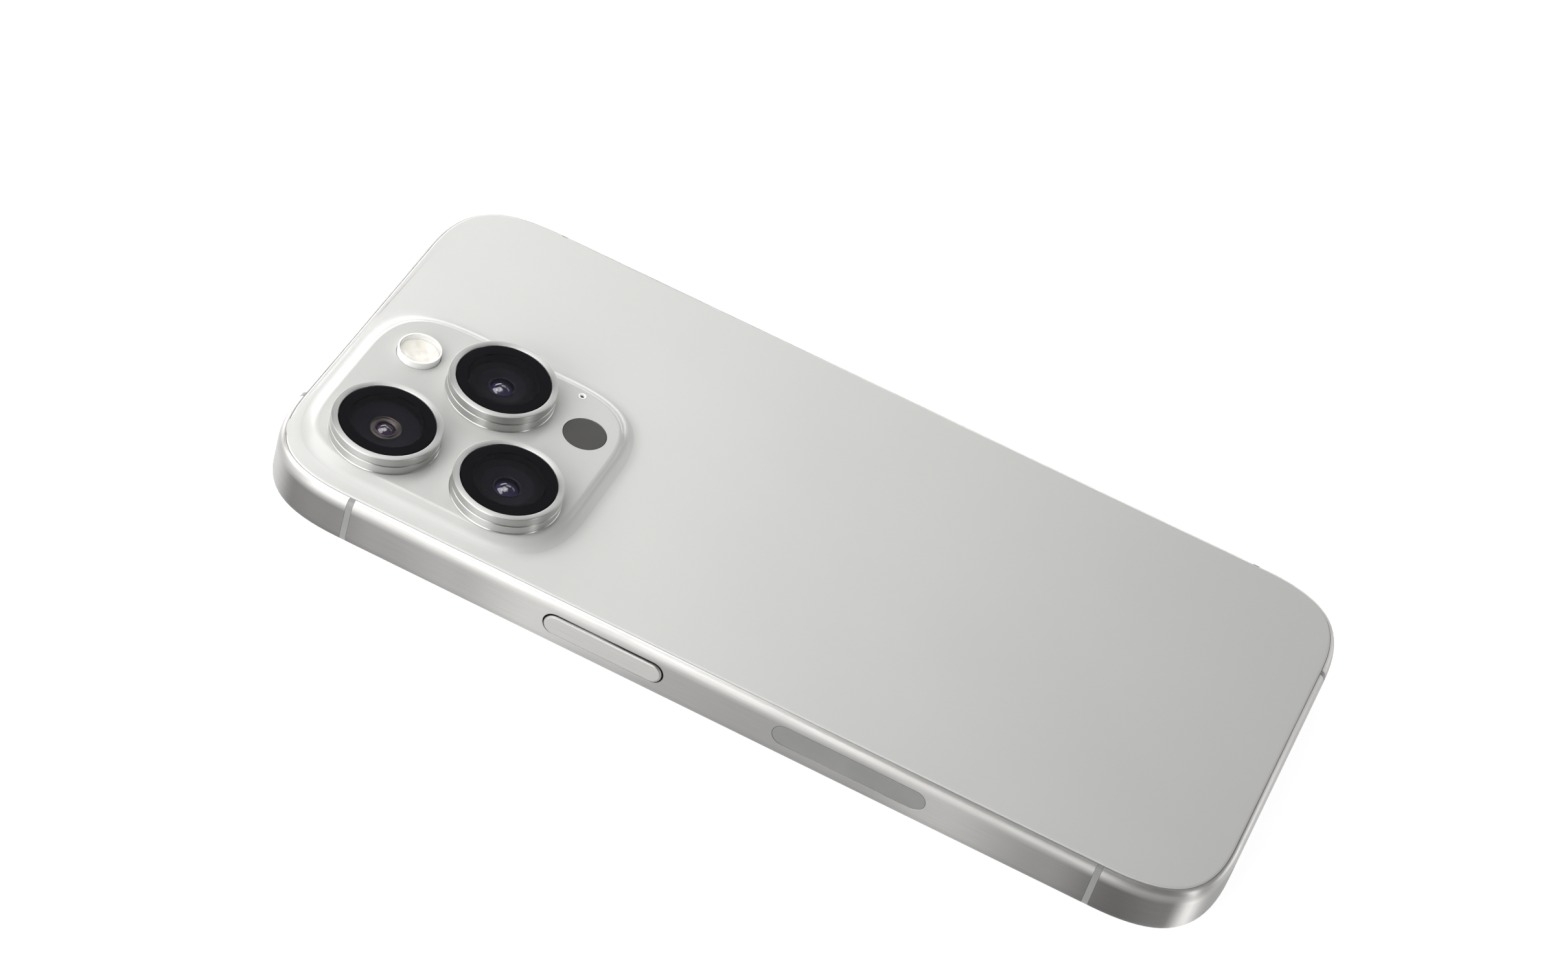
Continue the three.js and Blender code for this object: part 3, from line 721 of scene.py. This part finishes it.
def band_slot(name):
    """Box-shaped cutter for one antenna band's slot in the outer skin."""
    low, high = span(f"antenna_band_{name}")
    if on_long_side(low, high):
        out = math.copysign(40, low.x)
        near = math.copysign(HALF_X - BAND_DEPTH - BAND_GROW, low.x)
        xs, ys = sorted((near, out)), (low.y - BAND_GROW, high.y + BAND_GROW)
    else:
        out = math.copysign(80, low.y)
        near = math.copysign(HALF_Y - BAND_DEPTH - BAND_GROW, low.y)
        xs, ys = (low.x - BAND_GROW, high.x + BAND_GROW), sorted((near, out))
    (left, right), (front, back) = xs, ys
    corners = [Vector(corner) for corner in ((left, front), (right, front), (right, back), (left, back))]
    return prism("band_slot", corners, on_plan, -1, 10)


def band_strip(name):
    """One antenna band: the metal band's outer profile over a flat inner face, run across its width."""
    low, high = span(f"antenna_band_{name}")
    outer = outer_profile()
    section = outer + [(BAND_DEPTH, outer[-1][1]), (BAND_DEPTH, outer[0][1])]
    rings = []
    if on_long_side(low, high):
        sign = math.copysign(1, low.x)
        for y in (low.y, high.y):
            rings.append([Vector((sign * (HALF_X - inset), y, z)) for inset, z in section])
    else:
        sign = math.copysign(1, low.y)
        for x in (low.x, high.x):
            rings.append([Vector((x, sign * (HALF_Y - inset), z)) for inset, z in section])
    return loft(f"band_{name}", rings)


def build_band():
    rings = [level(outline_in(inset), z) for inset, z in band_profile()]
    band = loft("metal_band", rings, closed=True)
    cut(band, slot_tools() + hole_tools() + [band_slot(name) for name in BANDS])

    def on_face(a, b):
        """True for a rim of a slot or hole in the flat of a side."""
        flat = 1.8 < min(a.z, b.z) and max(a.z, b.z) < 6.45
        long_side = min(abs(a.x), abs(b.x)) > HALF_X - 0.001 and max(abs(a.y), abs(b.y)) < 50
        end = min(abs(a.y), abs(b.y)) > HALF_Y - 0.001 and max(abs(a.x), abs(b.x)) < 19
        return flat and (long_side or end)

    soften_rims(band, on_face, 0.07)
    dress(band, TITANIUM_WITH_PAINTED_SHEEN, ["side_frame"])
    for name in BANDS:
        strip = band_strip(name)
        dress(strip, GREY_PLASTIC, [f"antenna_band_{name}"])


def stadium_block(name, node, outer, inner, half_long, half_short, ease):
    """Bar with round ends on a long side, from inner to outer along X, with a rounded outer edge."""
    sign = 1 if outer > inner else -1
    rings = [level(capsule(half_long, half_short), inner, on_side)]
    for across, down in quarter_round(5):
        outline = capsule(half_long - ease * across, half_short - ease * across)
        rings.append(level(outline, outer - sign * ease * down, on_side))
    margin = ease + 0.12
    rings.append(level(capsule(half_long - margin, half_short - margin), outer, on_side))
    centre = middle(node)
    piece = loft(name, rings)
    piece.location = Vector((0, centre.y, centre.z)) * MM
    return piece


def build_buttons():
    for node in BUTTONS:
        low, high = span(node)
        side = 1 if high.x > 0 else -1
        outer = high.x if side > 0 else low.x
        inner = low.x if side > 0 else high.x
        half_long, half_short = (high.y - low.y) / 2 - 0.5, (high.z - low.z) / 2 - 0.5
        cap = stadium_block(node + "_cap", node, outer, side * (HALF_X - WALL - 0.06),
                            half_long, half_short, 0.3)
        dress(cap, BUTTON_METAL, [node], node)
        lip = prism(node + "_flange", capsule(half_long + 0.5, half_short + 0.5), on_side,
                    inner, side * (HALF_X - WALL - 0.05))
        lip.location = cap.location
        dress(lip, BUTTON_METAL, [], node)


def build_window():
    low, high = span("antenna_window")
    half_long, half_short = (high.y - low.y) / 2, (high.z - low.z) / 2
    pane = stadium_block("side_window", "antenna_window", low.x + 0.005, high.x, half_long, half_short, 0.06)
    dress(pane, WINDOW_PLASTIC, ["antenna_window"])


# ---- glasses

EDGE_MARGIN = 0.55  # back glass edge to the furthest reach of the plateau's foot
RING_HOLE, FLASH_HOLE, SCANNER_HOLE, MICROPHONE_HOLE = 7.35, 3.3, 3.25, 0.62  # radii
SCREEN_STEP = 0.02  # the lit area stands this far proud of the black border
SCREEN_IN = 1.35  # glass edge to the lit area
PILL_HALF = (10.45, 3.05)  # half sizes of the opening in the lit area
FRONT_LENS, SENSOR_LENS = 1.25, 1.0  # radii


def plate_outline(inset):
    total = GLASS_IN + inset
    return soft_rect(HALF_X - total, HALF_Y - total, CORNER - total)


def edge_rings(z_face, z_body, ease):
    """Rings of a plate's rounded edge, from its side to its face."""
    sign = 1 if z_face > z_body else -1
    return [level(plate_outline(ease * 1.6 * across), z_face - sign * ease * down)
            for across, down in quarter_round(6)]


def plateau_outline(out):
    p = PLATEAU
    return soft_rect(p["half_x"] + out, p["half_y"] + out, p["corner"] + out, centre=(p["cx"], p["cy"]))


def side_profile(steps=12):
    """Plateau side as (distance out, z): a tight round at the top, then a long hollow run to the foot."""
    rise = PLATEAU_TOP - BACK_TOP
    edge = Vector((0.5, PLATEAU_TOP - 0.25 * rise))
    crown = (Vector((-0.35, PLATEAU_TOP)), Vector((0.14, PLATEAU_TOP)), edge)
    hollow = (edge, Vector((1.62, BACK_TOP)), Vector((PLATEAU["slope"], BACK_TOP)))
    points = []
    for start, bend, end in (crown, hollow):
        for i in range(steps):
            t = i / steps
            points.append(start.lerp(bend, t).lerp(bend.lerp(end, t), t))
    return points + [hollow[2]]


def plateau_rings():
    """Rings from the plateau's foot up its side to the flat top."""
    rings = [level(map(limit, plateau_outline(out)), z) for out, z in reversed(side_profile())]
    rings.append(level(plateau_outline(-0.6), PLATEAU_TOP))
    return rings


def limit(point):
    """Keeps the plateau's foot just inside the flat of the back glass."""
    edge_x, edge_y = HALF_X - GLASS_IN - EDGE_MARGIN, HALF_Y - GLASS_IN - EDGE_MARGIN
    return Vector((max(point.x, -edge_x), min(point.y, edge_y)))


def build_back_glass():
    low = span("back_glass")[0].z
    rings = [level(plate_outline(0.05), low), level(plate_outline(0), low + 0.05)]
    rings += edge_rings(BACK_TOP, low, 0.2)
    rings.append(level(plate_outline(0.42), BACK_TOP))
    rings += plateau_rings()
    glass = loft("back_pane", rings)
    tools = [hole_through(f"{name}_ring", RING_HOLE) for name in CAMERAS]
    tools.append(hole_through("flash_trim", FLASH_HOLE))
    tools.append(hole_through("scanner_window", SCANNER_HOLE))
    tools.append(hole_through("rear_microphone_mesh", MICROPHONE_HOLE))
    cut(glass, tools)
    microphone = middle("rear_microphone_mesh").xy

    def small_rim(a, b):
        """True for the rim of the microphone's hole."""
        return min(a.z, b.z) > PLATEAU_TOP - 0.001 and (a.xy - microphone).length < 0.8

    soften_rims(glass, small_rim, 0.09)
    dress(glass, BACK_GLASS, ["back_glass"])


def hole_through(node, radius):
    """Cutter for a round hole through the back glass, on a node's axis."""
    centre = middle(node)
    tool = prism("hole", circle(radius, 96 if radius > 1 else 32), on_plan, 7, 10)
    tool.location = Vector((centre.x, centre.y, 0)) * MM
    return tool


def build_display():
    """Front glass with the earpiece's notch, and the earpiece's mesh."""
    high = span("display_glass")[1].z
    rings = [level(plate_outline(0), high)]
    rings += edge_rings(SCREEN_STEP, high, 0.25)
    rings.append(level(plate_outline(0.55), SCREEN_STEP))
    pane = loft("front_pane", rings)
    low_corner, high_corner = span("earpiece_mesh")
    slot_half = high_corner.x + 0.05
    notch = prism("notch", soft_rect(slot_half, 0.6, 0.25, 6, 2), on_plan, -1, 2)
    notch.location.y = (low_corner.y + 0.55) * MM
    cut(pane, [notch])
    dress(pane, DISPLAY_BLACK, ["display_glass"])
    grille = loft("earpiece_grille", block_rings(low_corner, high_corner, 0.12))
    dress(grille, MESH, ["earpiece_mesh"])


def build_screen():
    """Lit area of the display with its pill-shaped opening, and the two lenses inside that opening."""
    camera_at = middle("front_camera_barrel")
    edge = ((SCREEN_IN, 0.05), (SCREEN_IN, 0.006), (SCREEN_IN + 0.02, 0))
    screen = loft("screen_area", [level(plate_outline(inset), z) for inset, z in edge])
    pill = prism("pill", capsule(*PILL_HALF), on_plan, -1, 1)
    pill.location.y = camera_at.y * MM
    cut(screen, [pill])
    dress(screen, SCREEN, [])
    lenses = (("front_lens", camera_at.x, FRONT_LENS), ("sensor_lens", -camera_at.x, SENSOR_LENS))
    for name, x, radius in lenses:
        profile = [(0, 0.06), (radius, 0.06), (radius, 0.008), (radius - 0.05, 0.002),
                   (radius - 0.2, 0.008), (radius * 0.5, 0.005), (0, 0.004)]
        lens = turned(name, profile, (x, camera_at.y, 0), 64)
        dress(lens, LENS_VIOLET, [])


def block_rings(low, high, ease, corner=0.25):
    """Rings of a small block with rounded edges, between two corners."""
    centre = ((low.x + high.x) / 2, (low.y + high.y) / 2)
    half_x, half_y = (high.x - low.x) / 2, (high.y - low.y) / 2
    rings = []
    for inset, z in ((ease, low.z), (ease * 0.3, low.z + ease * 0.3), (0, low.z + ease),
                     (0, high.z - ease), (ease * 0.3, high.z - ease * 0.3), (ease, high.z)):
        outline = soft_rect(half_x - inset, half_y - inset, max(corner - inset, 0.02), 6, 2, centre)
        rings.append(level(outline, z))
    return rings


# ---- cameras, flash and scanner

OPTICS = {
    "ultrawide": {"cone": 4.85, "throat": 2.25, "element": 1.35, "lens": LENS_PINK},
    "main": {"cone": 3.8, "throat": 2.0, "element": 1.85, "lens": LENS_VIOLET},
    "tele": {"cone": 3.5, "throat": 1.95, "element": 1.8, "lens": LENS_VIOLET},
}
RING = {"bore": 6.4, "inner": 6.98, "sleeve": 7.3, "foot": 11.1, "seat": 11.55}  # radii, two heights
COLLAR_BORE = 7.36
WINDOW = 5.3  # clear middle of each cover glass
LINER = {"inner": 6.15, "outer": 6.38, "low": 7.4, "high": 11.5}
CONE_TOP, CONE_END = 11.17, 10.85  # shallow dark cone round each front element
CONE_RIBS = 8
STOP_WIRE = 0.09  # half thickness of the thin stop at the throat
LENS_APEX = 11.12


def build_ring(name):
    """Metal ring: a sleeve through the glass and a wider head with a step for the cover glass."""
    low, high, place, outer = round_node(f"{name}_ring")
    bore, inner, sleeve, foot, seat = RING.values()
    profile = [(bore, low.z), (sleeve, low.z), (sleeve, foot)]
    profile += [(outer - 0.1, foot), (outer - 0.03, foot + 0.04)]
    profile += rounded(outer, inner + 0.14, foot + 0.1, high.z, 0.13)
    profile += [(inner + 0.05, high.z - 0.03), (inner, high.z - 0.12), (inner, seat), (bore, seat)]
    ring = turned(f"{name}_bezel", profile, place)
    dress(ring, RING_METAL, [f"{name}_ring"])


def build_collar(name):
    low, high, place, outer = round_node(f"{name}_collar")
    profile = [
        (COLLAR_BORE, low.z), (outer, low.z), (outer, low.z + 0.05), (outer - 0.03, low.z + 0.1),
        (outer - 0.1, low.z + 0.16), (outer - 0.1, high.z - 0.08), (outer - 0.18, high.z),
        (COLLAR_BORE, high.z),
    ]
    collar = turned(f"{name}_base", profile, place)
    dress(collar, COLLAR_METAL, [f"{name}_collar"])


def build_cover(name):
    """Black coated glass, undercut below its clear middle."""
    low, high, place, outer = round_node(f"{name}_cover_glass")
    profile = [(WINDOW + 0.5, low.z), (outer, low.z), (outer, high.z - 0.06), (outer - 0.02, high.z - 0.02),
               (outer - 0.08, high.z), (WINDOW, high.z), (WINDOW, high.z - 0.05)]
    cover = turned(f"{name}_cover", profile, place)
    dress(cover, COVER_BLACK, [f"{name}_cover_glass"])
    rim = WINDOW - 0.01
    profile = [(0, high.z - 0.05), (rim, high.z - 0.05), (rim, high.z - 0.005), (0, high.z)]
    pane = turned(f"{name}_window", profile, place)
    dress(pane, CLEAR, [])


def cone_ribs(cone, throat):
    """Finely stepped funnel from the cone's mouth down to the throat."""
    ribs = []
    for i in range(CONE_RIBS):
        t = i / CONE_RIBS
        radius = cone * (1 - t) + (throat + 0.06) * t
        z = CONE_TOP * (1 - t) + CONE_END * t
        ribs += [(radius, z), (radius - 0.05, z - 0.02)]
    return ribs


def stop_wire(throat, steps=16):
    """Round section of the thin stop at the throat."""
    angles = [2 * math.pi * i / steps for i in range(steps)]
    return [(throat - 0.07 + STOP_WIRE * math.cos(angle), CONE_END + 0.01 + STOP_WIRE * math.sin(angle))
            for angle in angles]


def build_barrel(name):
    """Black tube, a shallow ribbed cone in its mouth and a thin metal stop round the element."""
    low, high, place, outer = round_node(f"{name}_barrel")
    cone, throat, element = [OPTICS[name][key] for key in ("cone", "throat", "element")]
    focus = f"{name}_focus"

    def add_piece(part, profile, material, body, replaced=()):
        dress(turned(f"{name}_{part}", profile, place, 72), material, replaced, body)

    inner, rim = LINER["inner"], LINER["outer"]
    add_piece("liner", [
        (inner, LINER["low"]), (rim, LINER["low"]), (rim, LINER["high"]), (6.3, LINER["high"] + 0.04),
        (inner, LINER["high"]),
    ], BARREL_BLACK, "chassis")
    inside, mouth, top = throat + 0.05, cone + 0.02, high.z - 0.01
    add_piece("tube", [
        (inside, low.z), (outer, low.z), (outer, high.z - 0.1), (outer - 0.06, top),
        (mouth, top), (mouth, CONE_END - 0.4), (inside, CONE_END - 0.5),
    ], BARREL_BLACK, focus, [f"{name}_barrel"])
    foot = CONE_END - 0.35
    add_piece("cone", [
        (cone, foot), *cone_ribs(cone, throat), (throat, CONE_END), (throat - 0.03, foot),
    ], BARREL_VIOLET, focus)
    add_piece("stop", stop_wire(throat), STOP_METAL if name == "ultrawide" else STOP_DARK, focus)
    if throat - element > 0.5:
        hole, rest = element + 0.05, throat - 0.1
        add_piece("inner_stop", [
            (hole, CONE_END - 0.5), (rest, CONE_END - 0.4), (rest, CONE_END - 0.08),
            (element + 0.35, CONE_END - 0.12), (element + 0.3, CONE_END + 0.02),
            (element + 0.18, CONE_END + 0.02), (hole, CONE_END - 0.1),
        ], STOP_METAL, focus)


def build_element(name):
    """Domed front lens, part of a ball."""
    low, _, place, _ = round_node(f"{name}_front_element")
    radius = OPTICS[name]["element"]
    rise = 0.55 * radius
    ball = (radius ** 2 + rise ** 2) / (2 * rise)
    reach = math.asin(radius / ball)
    dome = []
    for i in range(14):
        angle = reach * (1 - i / 14)
        dome.append((ball * math.sin(angle), LENS_APEX - ball * (1 - math.cos(angle))))
    dome.append((0, LENS_APEX))
    element = turned(f"{name}_lens", [(0, low.z), (radius, low.z)] + dome, place, 72)
    dress(element, OPTICS[name]["lens"], [f"{name}_front_element"], f"{name}_focus")


def fresnel_ridges(radius, top, count=12):
    """Fine rings of a flash lens from near its rim to near its middle; top is its highest point."""
    ridges = []
    for i in range(count):
        r = radius * (0.80 - 0.72 * i / count)
        ridges += [(r, top - 0.075), (r - 0.03, top - 0.055), (r - 0.12, top - 0.07)]
    return ridges


def build_flash():
    """White trim, ridged clear lens and bright bowl."""
    low, high, place, outer = round_node("flash_trim")
    inner = outer - 0.25
    profile = [(inner, low.z), (outer, low.z), (outer, high.z - 0.12), (outer - 0.04, high.z - 0.03),
               (outer - 0.12, high.z), (inner, high.z - 0.02)]
    trim = turned("flash_bezel", profile, place)
    dress(trim, TRIM_WHITE, ["flash_trim"])
    low, high = span("flash_lens")
    radius = inner - 0.05
    profile = [(0, low.z), (radius, low.z), (radius, high.z - 0.14), (radius - 0.06, high.z - 0.08),
               (radius * 0.86, high.z - 0.04), (radius * 0.85, high.z - 0.11)]
    profile += fresnel_ridges(radius, high.z) + [(0, high.z - 0.03)]
    cap = turned("flash_cap", profile, place, 72)
    dress(cap, FLASH_GLASS, ["flash_lens"])
    low, high = span("flash_lamp")
    profile = [(0, low.z), (2.7, low.z), (2.85, high.z + 0.35), (2.7, high.z + 0.38),
               (1.9, high.z - 0.5), (0, high.z - 0.6)]
    reflector = turned("flash_bowl", profile, place, 48)
    dress(reflector, FLASH_BOWL, ["flash_lamp"])


def build_microphone():
    """White sleeve in the microphone's hole, with a rounded lip."""
    centre = middle("rear_microphone_mesh")
    top = PLATEAU_TOP
    profile = [(0.30, 9.1), (0.60, 9.1), (0.60, top + 0.01), (0.56, top + 0.04), (0.46, top + 0.03),
               (0.36, top - 0.04), (0.30, top - 0.2)]
    sleeve = turned("microphone_sleeve", profile, (centre.x, centre.y, 0), 48)
    dress(sleeve, TRIM_WHITE, [])


def build_scanner():
    low, high, place, radius = round_node("scanner_window")
    profile = [(0, low.z), (radius, low.z), (radius, high.z - 0.05), (radius - 0.05, high.z), (0, high.z)]
    pane = turned("scanner_pane", profile, place)
    dress(pane, SCANNER, ["scanner_window"])


# ---- port and screws

PORT_WALL = 0.34
STAR_STEPS = 40  # points round a screw's head and its five-lobed socket


def build_port():
    """Steel socket with a rolled mouth, and the blade inside it."""
    low, high = span("port_shell")
    half_z = (high.z - low.z) / 2
    section = ((0, high.y), (0, low.y + 0.1), (0.05, low.y), (PORT_WALL - 0.05, low.y),
               (PORT_WALL, low.y + 0.12), (PORT_WALL, high.y - 1.0))
    rings = [level(capsule(high.x - inset, half_z - inset), y, on_end) for inset, y in section]
    shell = loft("port_socket", rings)
    shell.location.z = (low.z + high.z) / 2 * MM
    dress(shell, STEEL, ["port_shell"])
    low, high = span("port_tongue")
    half_z = (high.z - low.z) / 2
    rings = []
    for inset, y in ((0.12, low.y), (0.04, low.y + 0.05), (0, low.y + 0.15), (0, high.y)):
        rings.append(level(soft_rect(high.x - inset, half_z - inset, 0.2, 6, 2), y, on_end))
    tongue = loft("port_blade", rings)
    tongue.location.z = middle("port_tongue").z * MM
    dress(tongue, BLACK_PLASTIC, ["port_tongue"])


def star():
    """Outline of the five-lobed socket in a screw's head."""
    angles = [2 * math.pi * i / STAR_STEPS for i in range(STAR_STEPS)]
    return [Vector((math.cos(angle), math.sin(angle))) * (0.36 + 0.08 * math.cos(5 * angle))
            for angle in angles]


def build_screws():
    for side in ("left", "right"):
        node = f"port_screw_{side}"
        low, high, _, radius = round_node(node)
        section = ((radius, high.y), (radius, low.y + 0.15),
                   (radius - 0.04, low.y + 0.05), (radius - 0.12, low.y))
        screw = loft(f"screw_{side}", [level(circle(r, STAR_STEPS), y, on_end) for r, y in section])
        centre = middle(node)
        screw.location = Vector((centre.x, 0, centre.z)) * MM
        socket = prism("socket", star(), on_end, low.y - 1, low.y + 0.5)
        socket.location = screw.location
        cut(screw, [socket])
        close_mesh(screw, open_mesh(screw))
        dress(screw, STEEL, [node])


# ---- carried-over inner nodes

INNER_FINISH = {
    "back_seal": RUBBER, "display_seal": RUBBER, "display_panel": DISPLAY_BLACK, "mid_plate": STEEL,
    "rear_microphone_mesh": MESH, "scanner_module": STEEL, "loudspeaker": BLACK_PLASTIC,
    "battery": BLACK_PLASTIC, "board_shield": STEEL, "magnet_ring": STEEL, "haptic_housing": STEEL,
    "haptic_mass": STEEL, "front_camera_module": STEEL, "front_camera_barrel": BARREL_DARK,
    "face_sensor": STEEL,
    "logic_board": moulded("board_mask", (0.02, 0.09, 0.05), 0.4),
    "charging_coil": turned_metal("coil_copper", (0.72, 0.36, 0.20), 0.3, 0.12),
    "side_switch": moulded("switch_film", (0.5, 0.33, 0.1), 0.4),
    "volume_switch": moulded("switch_film_long", (0.5, 0.33, 0.1), 0.4),
    **{f"{name}_module": BARREL_BLACK for name in CAMERAS},
}


def dress_inner_nodes():
    """Gives the nodes that keep their CAD shape a material."""
    for node, material in INNER_FINISH.items():
        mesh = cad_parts[node].data
        mesh.materials.clear()
        mesh.materials.append(material)


# ---- stage, light and camera

FLOOR_GAP = 0.0003  # keeps the floor clear of the display face


def build_floor():
    bm = bmesh.new()
    bmesh.ops.create_grid(bm, x_segments=4, y_segments=4, size=3)
    mesh = bpy.data.meshes.new("floor")
    bm.to_mesh(mesh)
    bm.free()
    floor = bpy.data.objects.new("floor", mesh)
    floor.location.z = -FLOOR_GAP
    bpy.context.scene.collection.objects.link(floor)
    material, tree, shader = new_material(
        "floor_white", (0.35, 0.35, 0.35), 0.8, 0.0, Specular_IOR_Level=0.1, Emission_Strength=0.88)
    shader.inputs["Emission Color"].default_value = (1, 1, 1, 1)
    floor.data.materials.append(material)


def build_world():
    """Soft studio surround: bright round the horizon, greyer overhead."""
    world = bpy.data.worlds.new("studio")
    bpy.context.scene.world = world
    world.use_nodes = True
    tree = world.node_tree
    height = split_place(tree, "Generated")["Z"]
    shade = tint(tree, height, (0.95, 0.95, 0.95), (0.08, 0.08, 0.08), 0.06, 0.34)
    wire(tree, shade, tree.nodes["Background"].inputs["Color"])


def softbox(name, place, target, size, power):
    """Rectangular area light at a place, facing a target; it doesn't show itself to the camera."""
    light = bpy.data.lights.new(name, "AREA")
    light.shape = "RECTANGLE"
    light.size, light.size_y = size
    light.energy = power
    obj = bpy.data.objects.new(name, light)
    obj.location = place
    direction = Vector(target) - Vector(place)
    obj.rotation_mode = "QUATERNION"
    obj.rotation_quaternion = direction.to_track_quat("-Z", "Y")
    obj.visible_camera = False
    bpy.context.scene.collection.objects.link(obj)


def build_lights():
    softbox("key", (-0.10, 0.28, 0.23), (-0.01, 0.05, 0), (0.32, 0.26), 0.88)
    softbox("overhead", (0.01, 0.11, 0.22), (0.0, 0.07, 0), (0.16, 0.14), 0.24)
    softbox("ceiling", (0.03, 0.07, 0.50), (0.0, 0.0, 0), (0.14, 0.24), 0.20)
    softbox("near_wall", (-0.40, 0.155, 0.16), (-0.03, 0.05, 0), (0.30, 0.26), 1.45)
    softbox("left_wall", (0.18, 0.48, 0.09), (-0.01, 0.07, 0), (0.30, 0.16), 0.36)
    softbox("far_wall", (0.43, 0.10, 0.40), (0, 0.0, 0), (0.26, 0.20), 0.30)
    softbox("far_strip", (0.50, 0.10, 0.06), (0, 0.05, 0), (0.50, 0.10), 0.6)
    softbox("far_corner", (0.42, 0.38, 0.14), (0, 0.06, 0), (0.30, 0.26), 1.0)
    softbox("right_wall", (0.36, -0.42, 0.12), (0, 0.0, 0.0), (0.40, 0.18), 0.5)
    softbox("right_upper", (0.40, -0.16, 0.30), (0, -0.05, 0), (0.20, 0.12), 0.10)
    softbox("corner_wall", (-0.10, -0.46, 0.10), (-0.03, -0.07, 0.0), (0.06, 0.18), 0.4)


CAMERA = {"azimuth": -79.2558, "elevation": 42.4411, "roll": -18.3872, "distance": 0.59717,
          "target": (0.00949, 0.00843, 0.004), "lens": 94.642}


def build_camera():
    data = bpy.data.cameras.new("camera")
    data.lens = CAMERA["lens"]
    data.sensor_width = 36
    data.clip_start, data.clip_end = 0.01, 20
    camera = bpy.data.objects.new("camera", data)
    azimuth, elevation = math.radians(CAMERA["azimuth"]), math.radians(CAMERA["elevation"])
    back = Vector((math.sin(azimuth) * math.cos(elevation), -math.cos(azimuth) * math.cos(elevation),
                   math.sin(elevation)))
    camera.location = Vector(CAMERA["target"]) + back * CAMERA["distance"]
    roll = Matrix.Rotation(math.radians(-CAMERA["roll"]), 3, "Z")
    turn = (-back).to_track_quat("-Z", "Y").to_matrix() @ roll
    camera.rotation_mode = "QUATERNION"
    camera.rotation_quaternion = turn.to_quaternion()
    bpy.context.scene.collection.objects.link(camera)
    bpy.context.scene.camera = camera


def build_all():
    build_camera()
    build_world()
    build_lights()
    build_floor()
    build_band()
    build_buttons()
    build_window()
    build_back_glass()
    build_display()
    build_screen()
    for name in CAMERAS:
        build_ring(name)
        build_collar(name)
        build_cover(name)
        build_barrel(name)
        build_element(name)
    build_flash()
    build_scanner()
    build_microphone()
    build_port()
    build_screws()
    dress_inner_nodes()


build_all()
bpy.context.scene.view_settings.view_transform = "Standard"
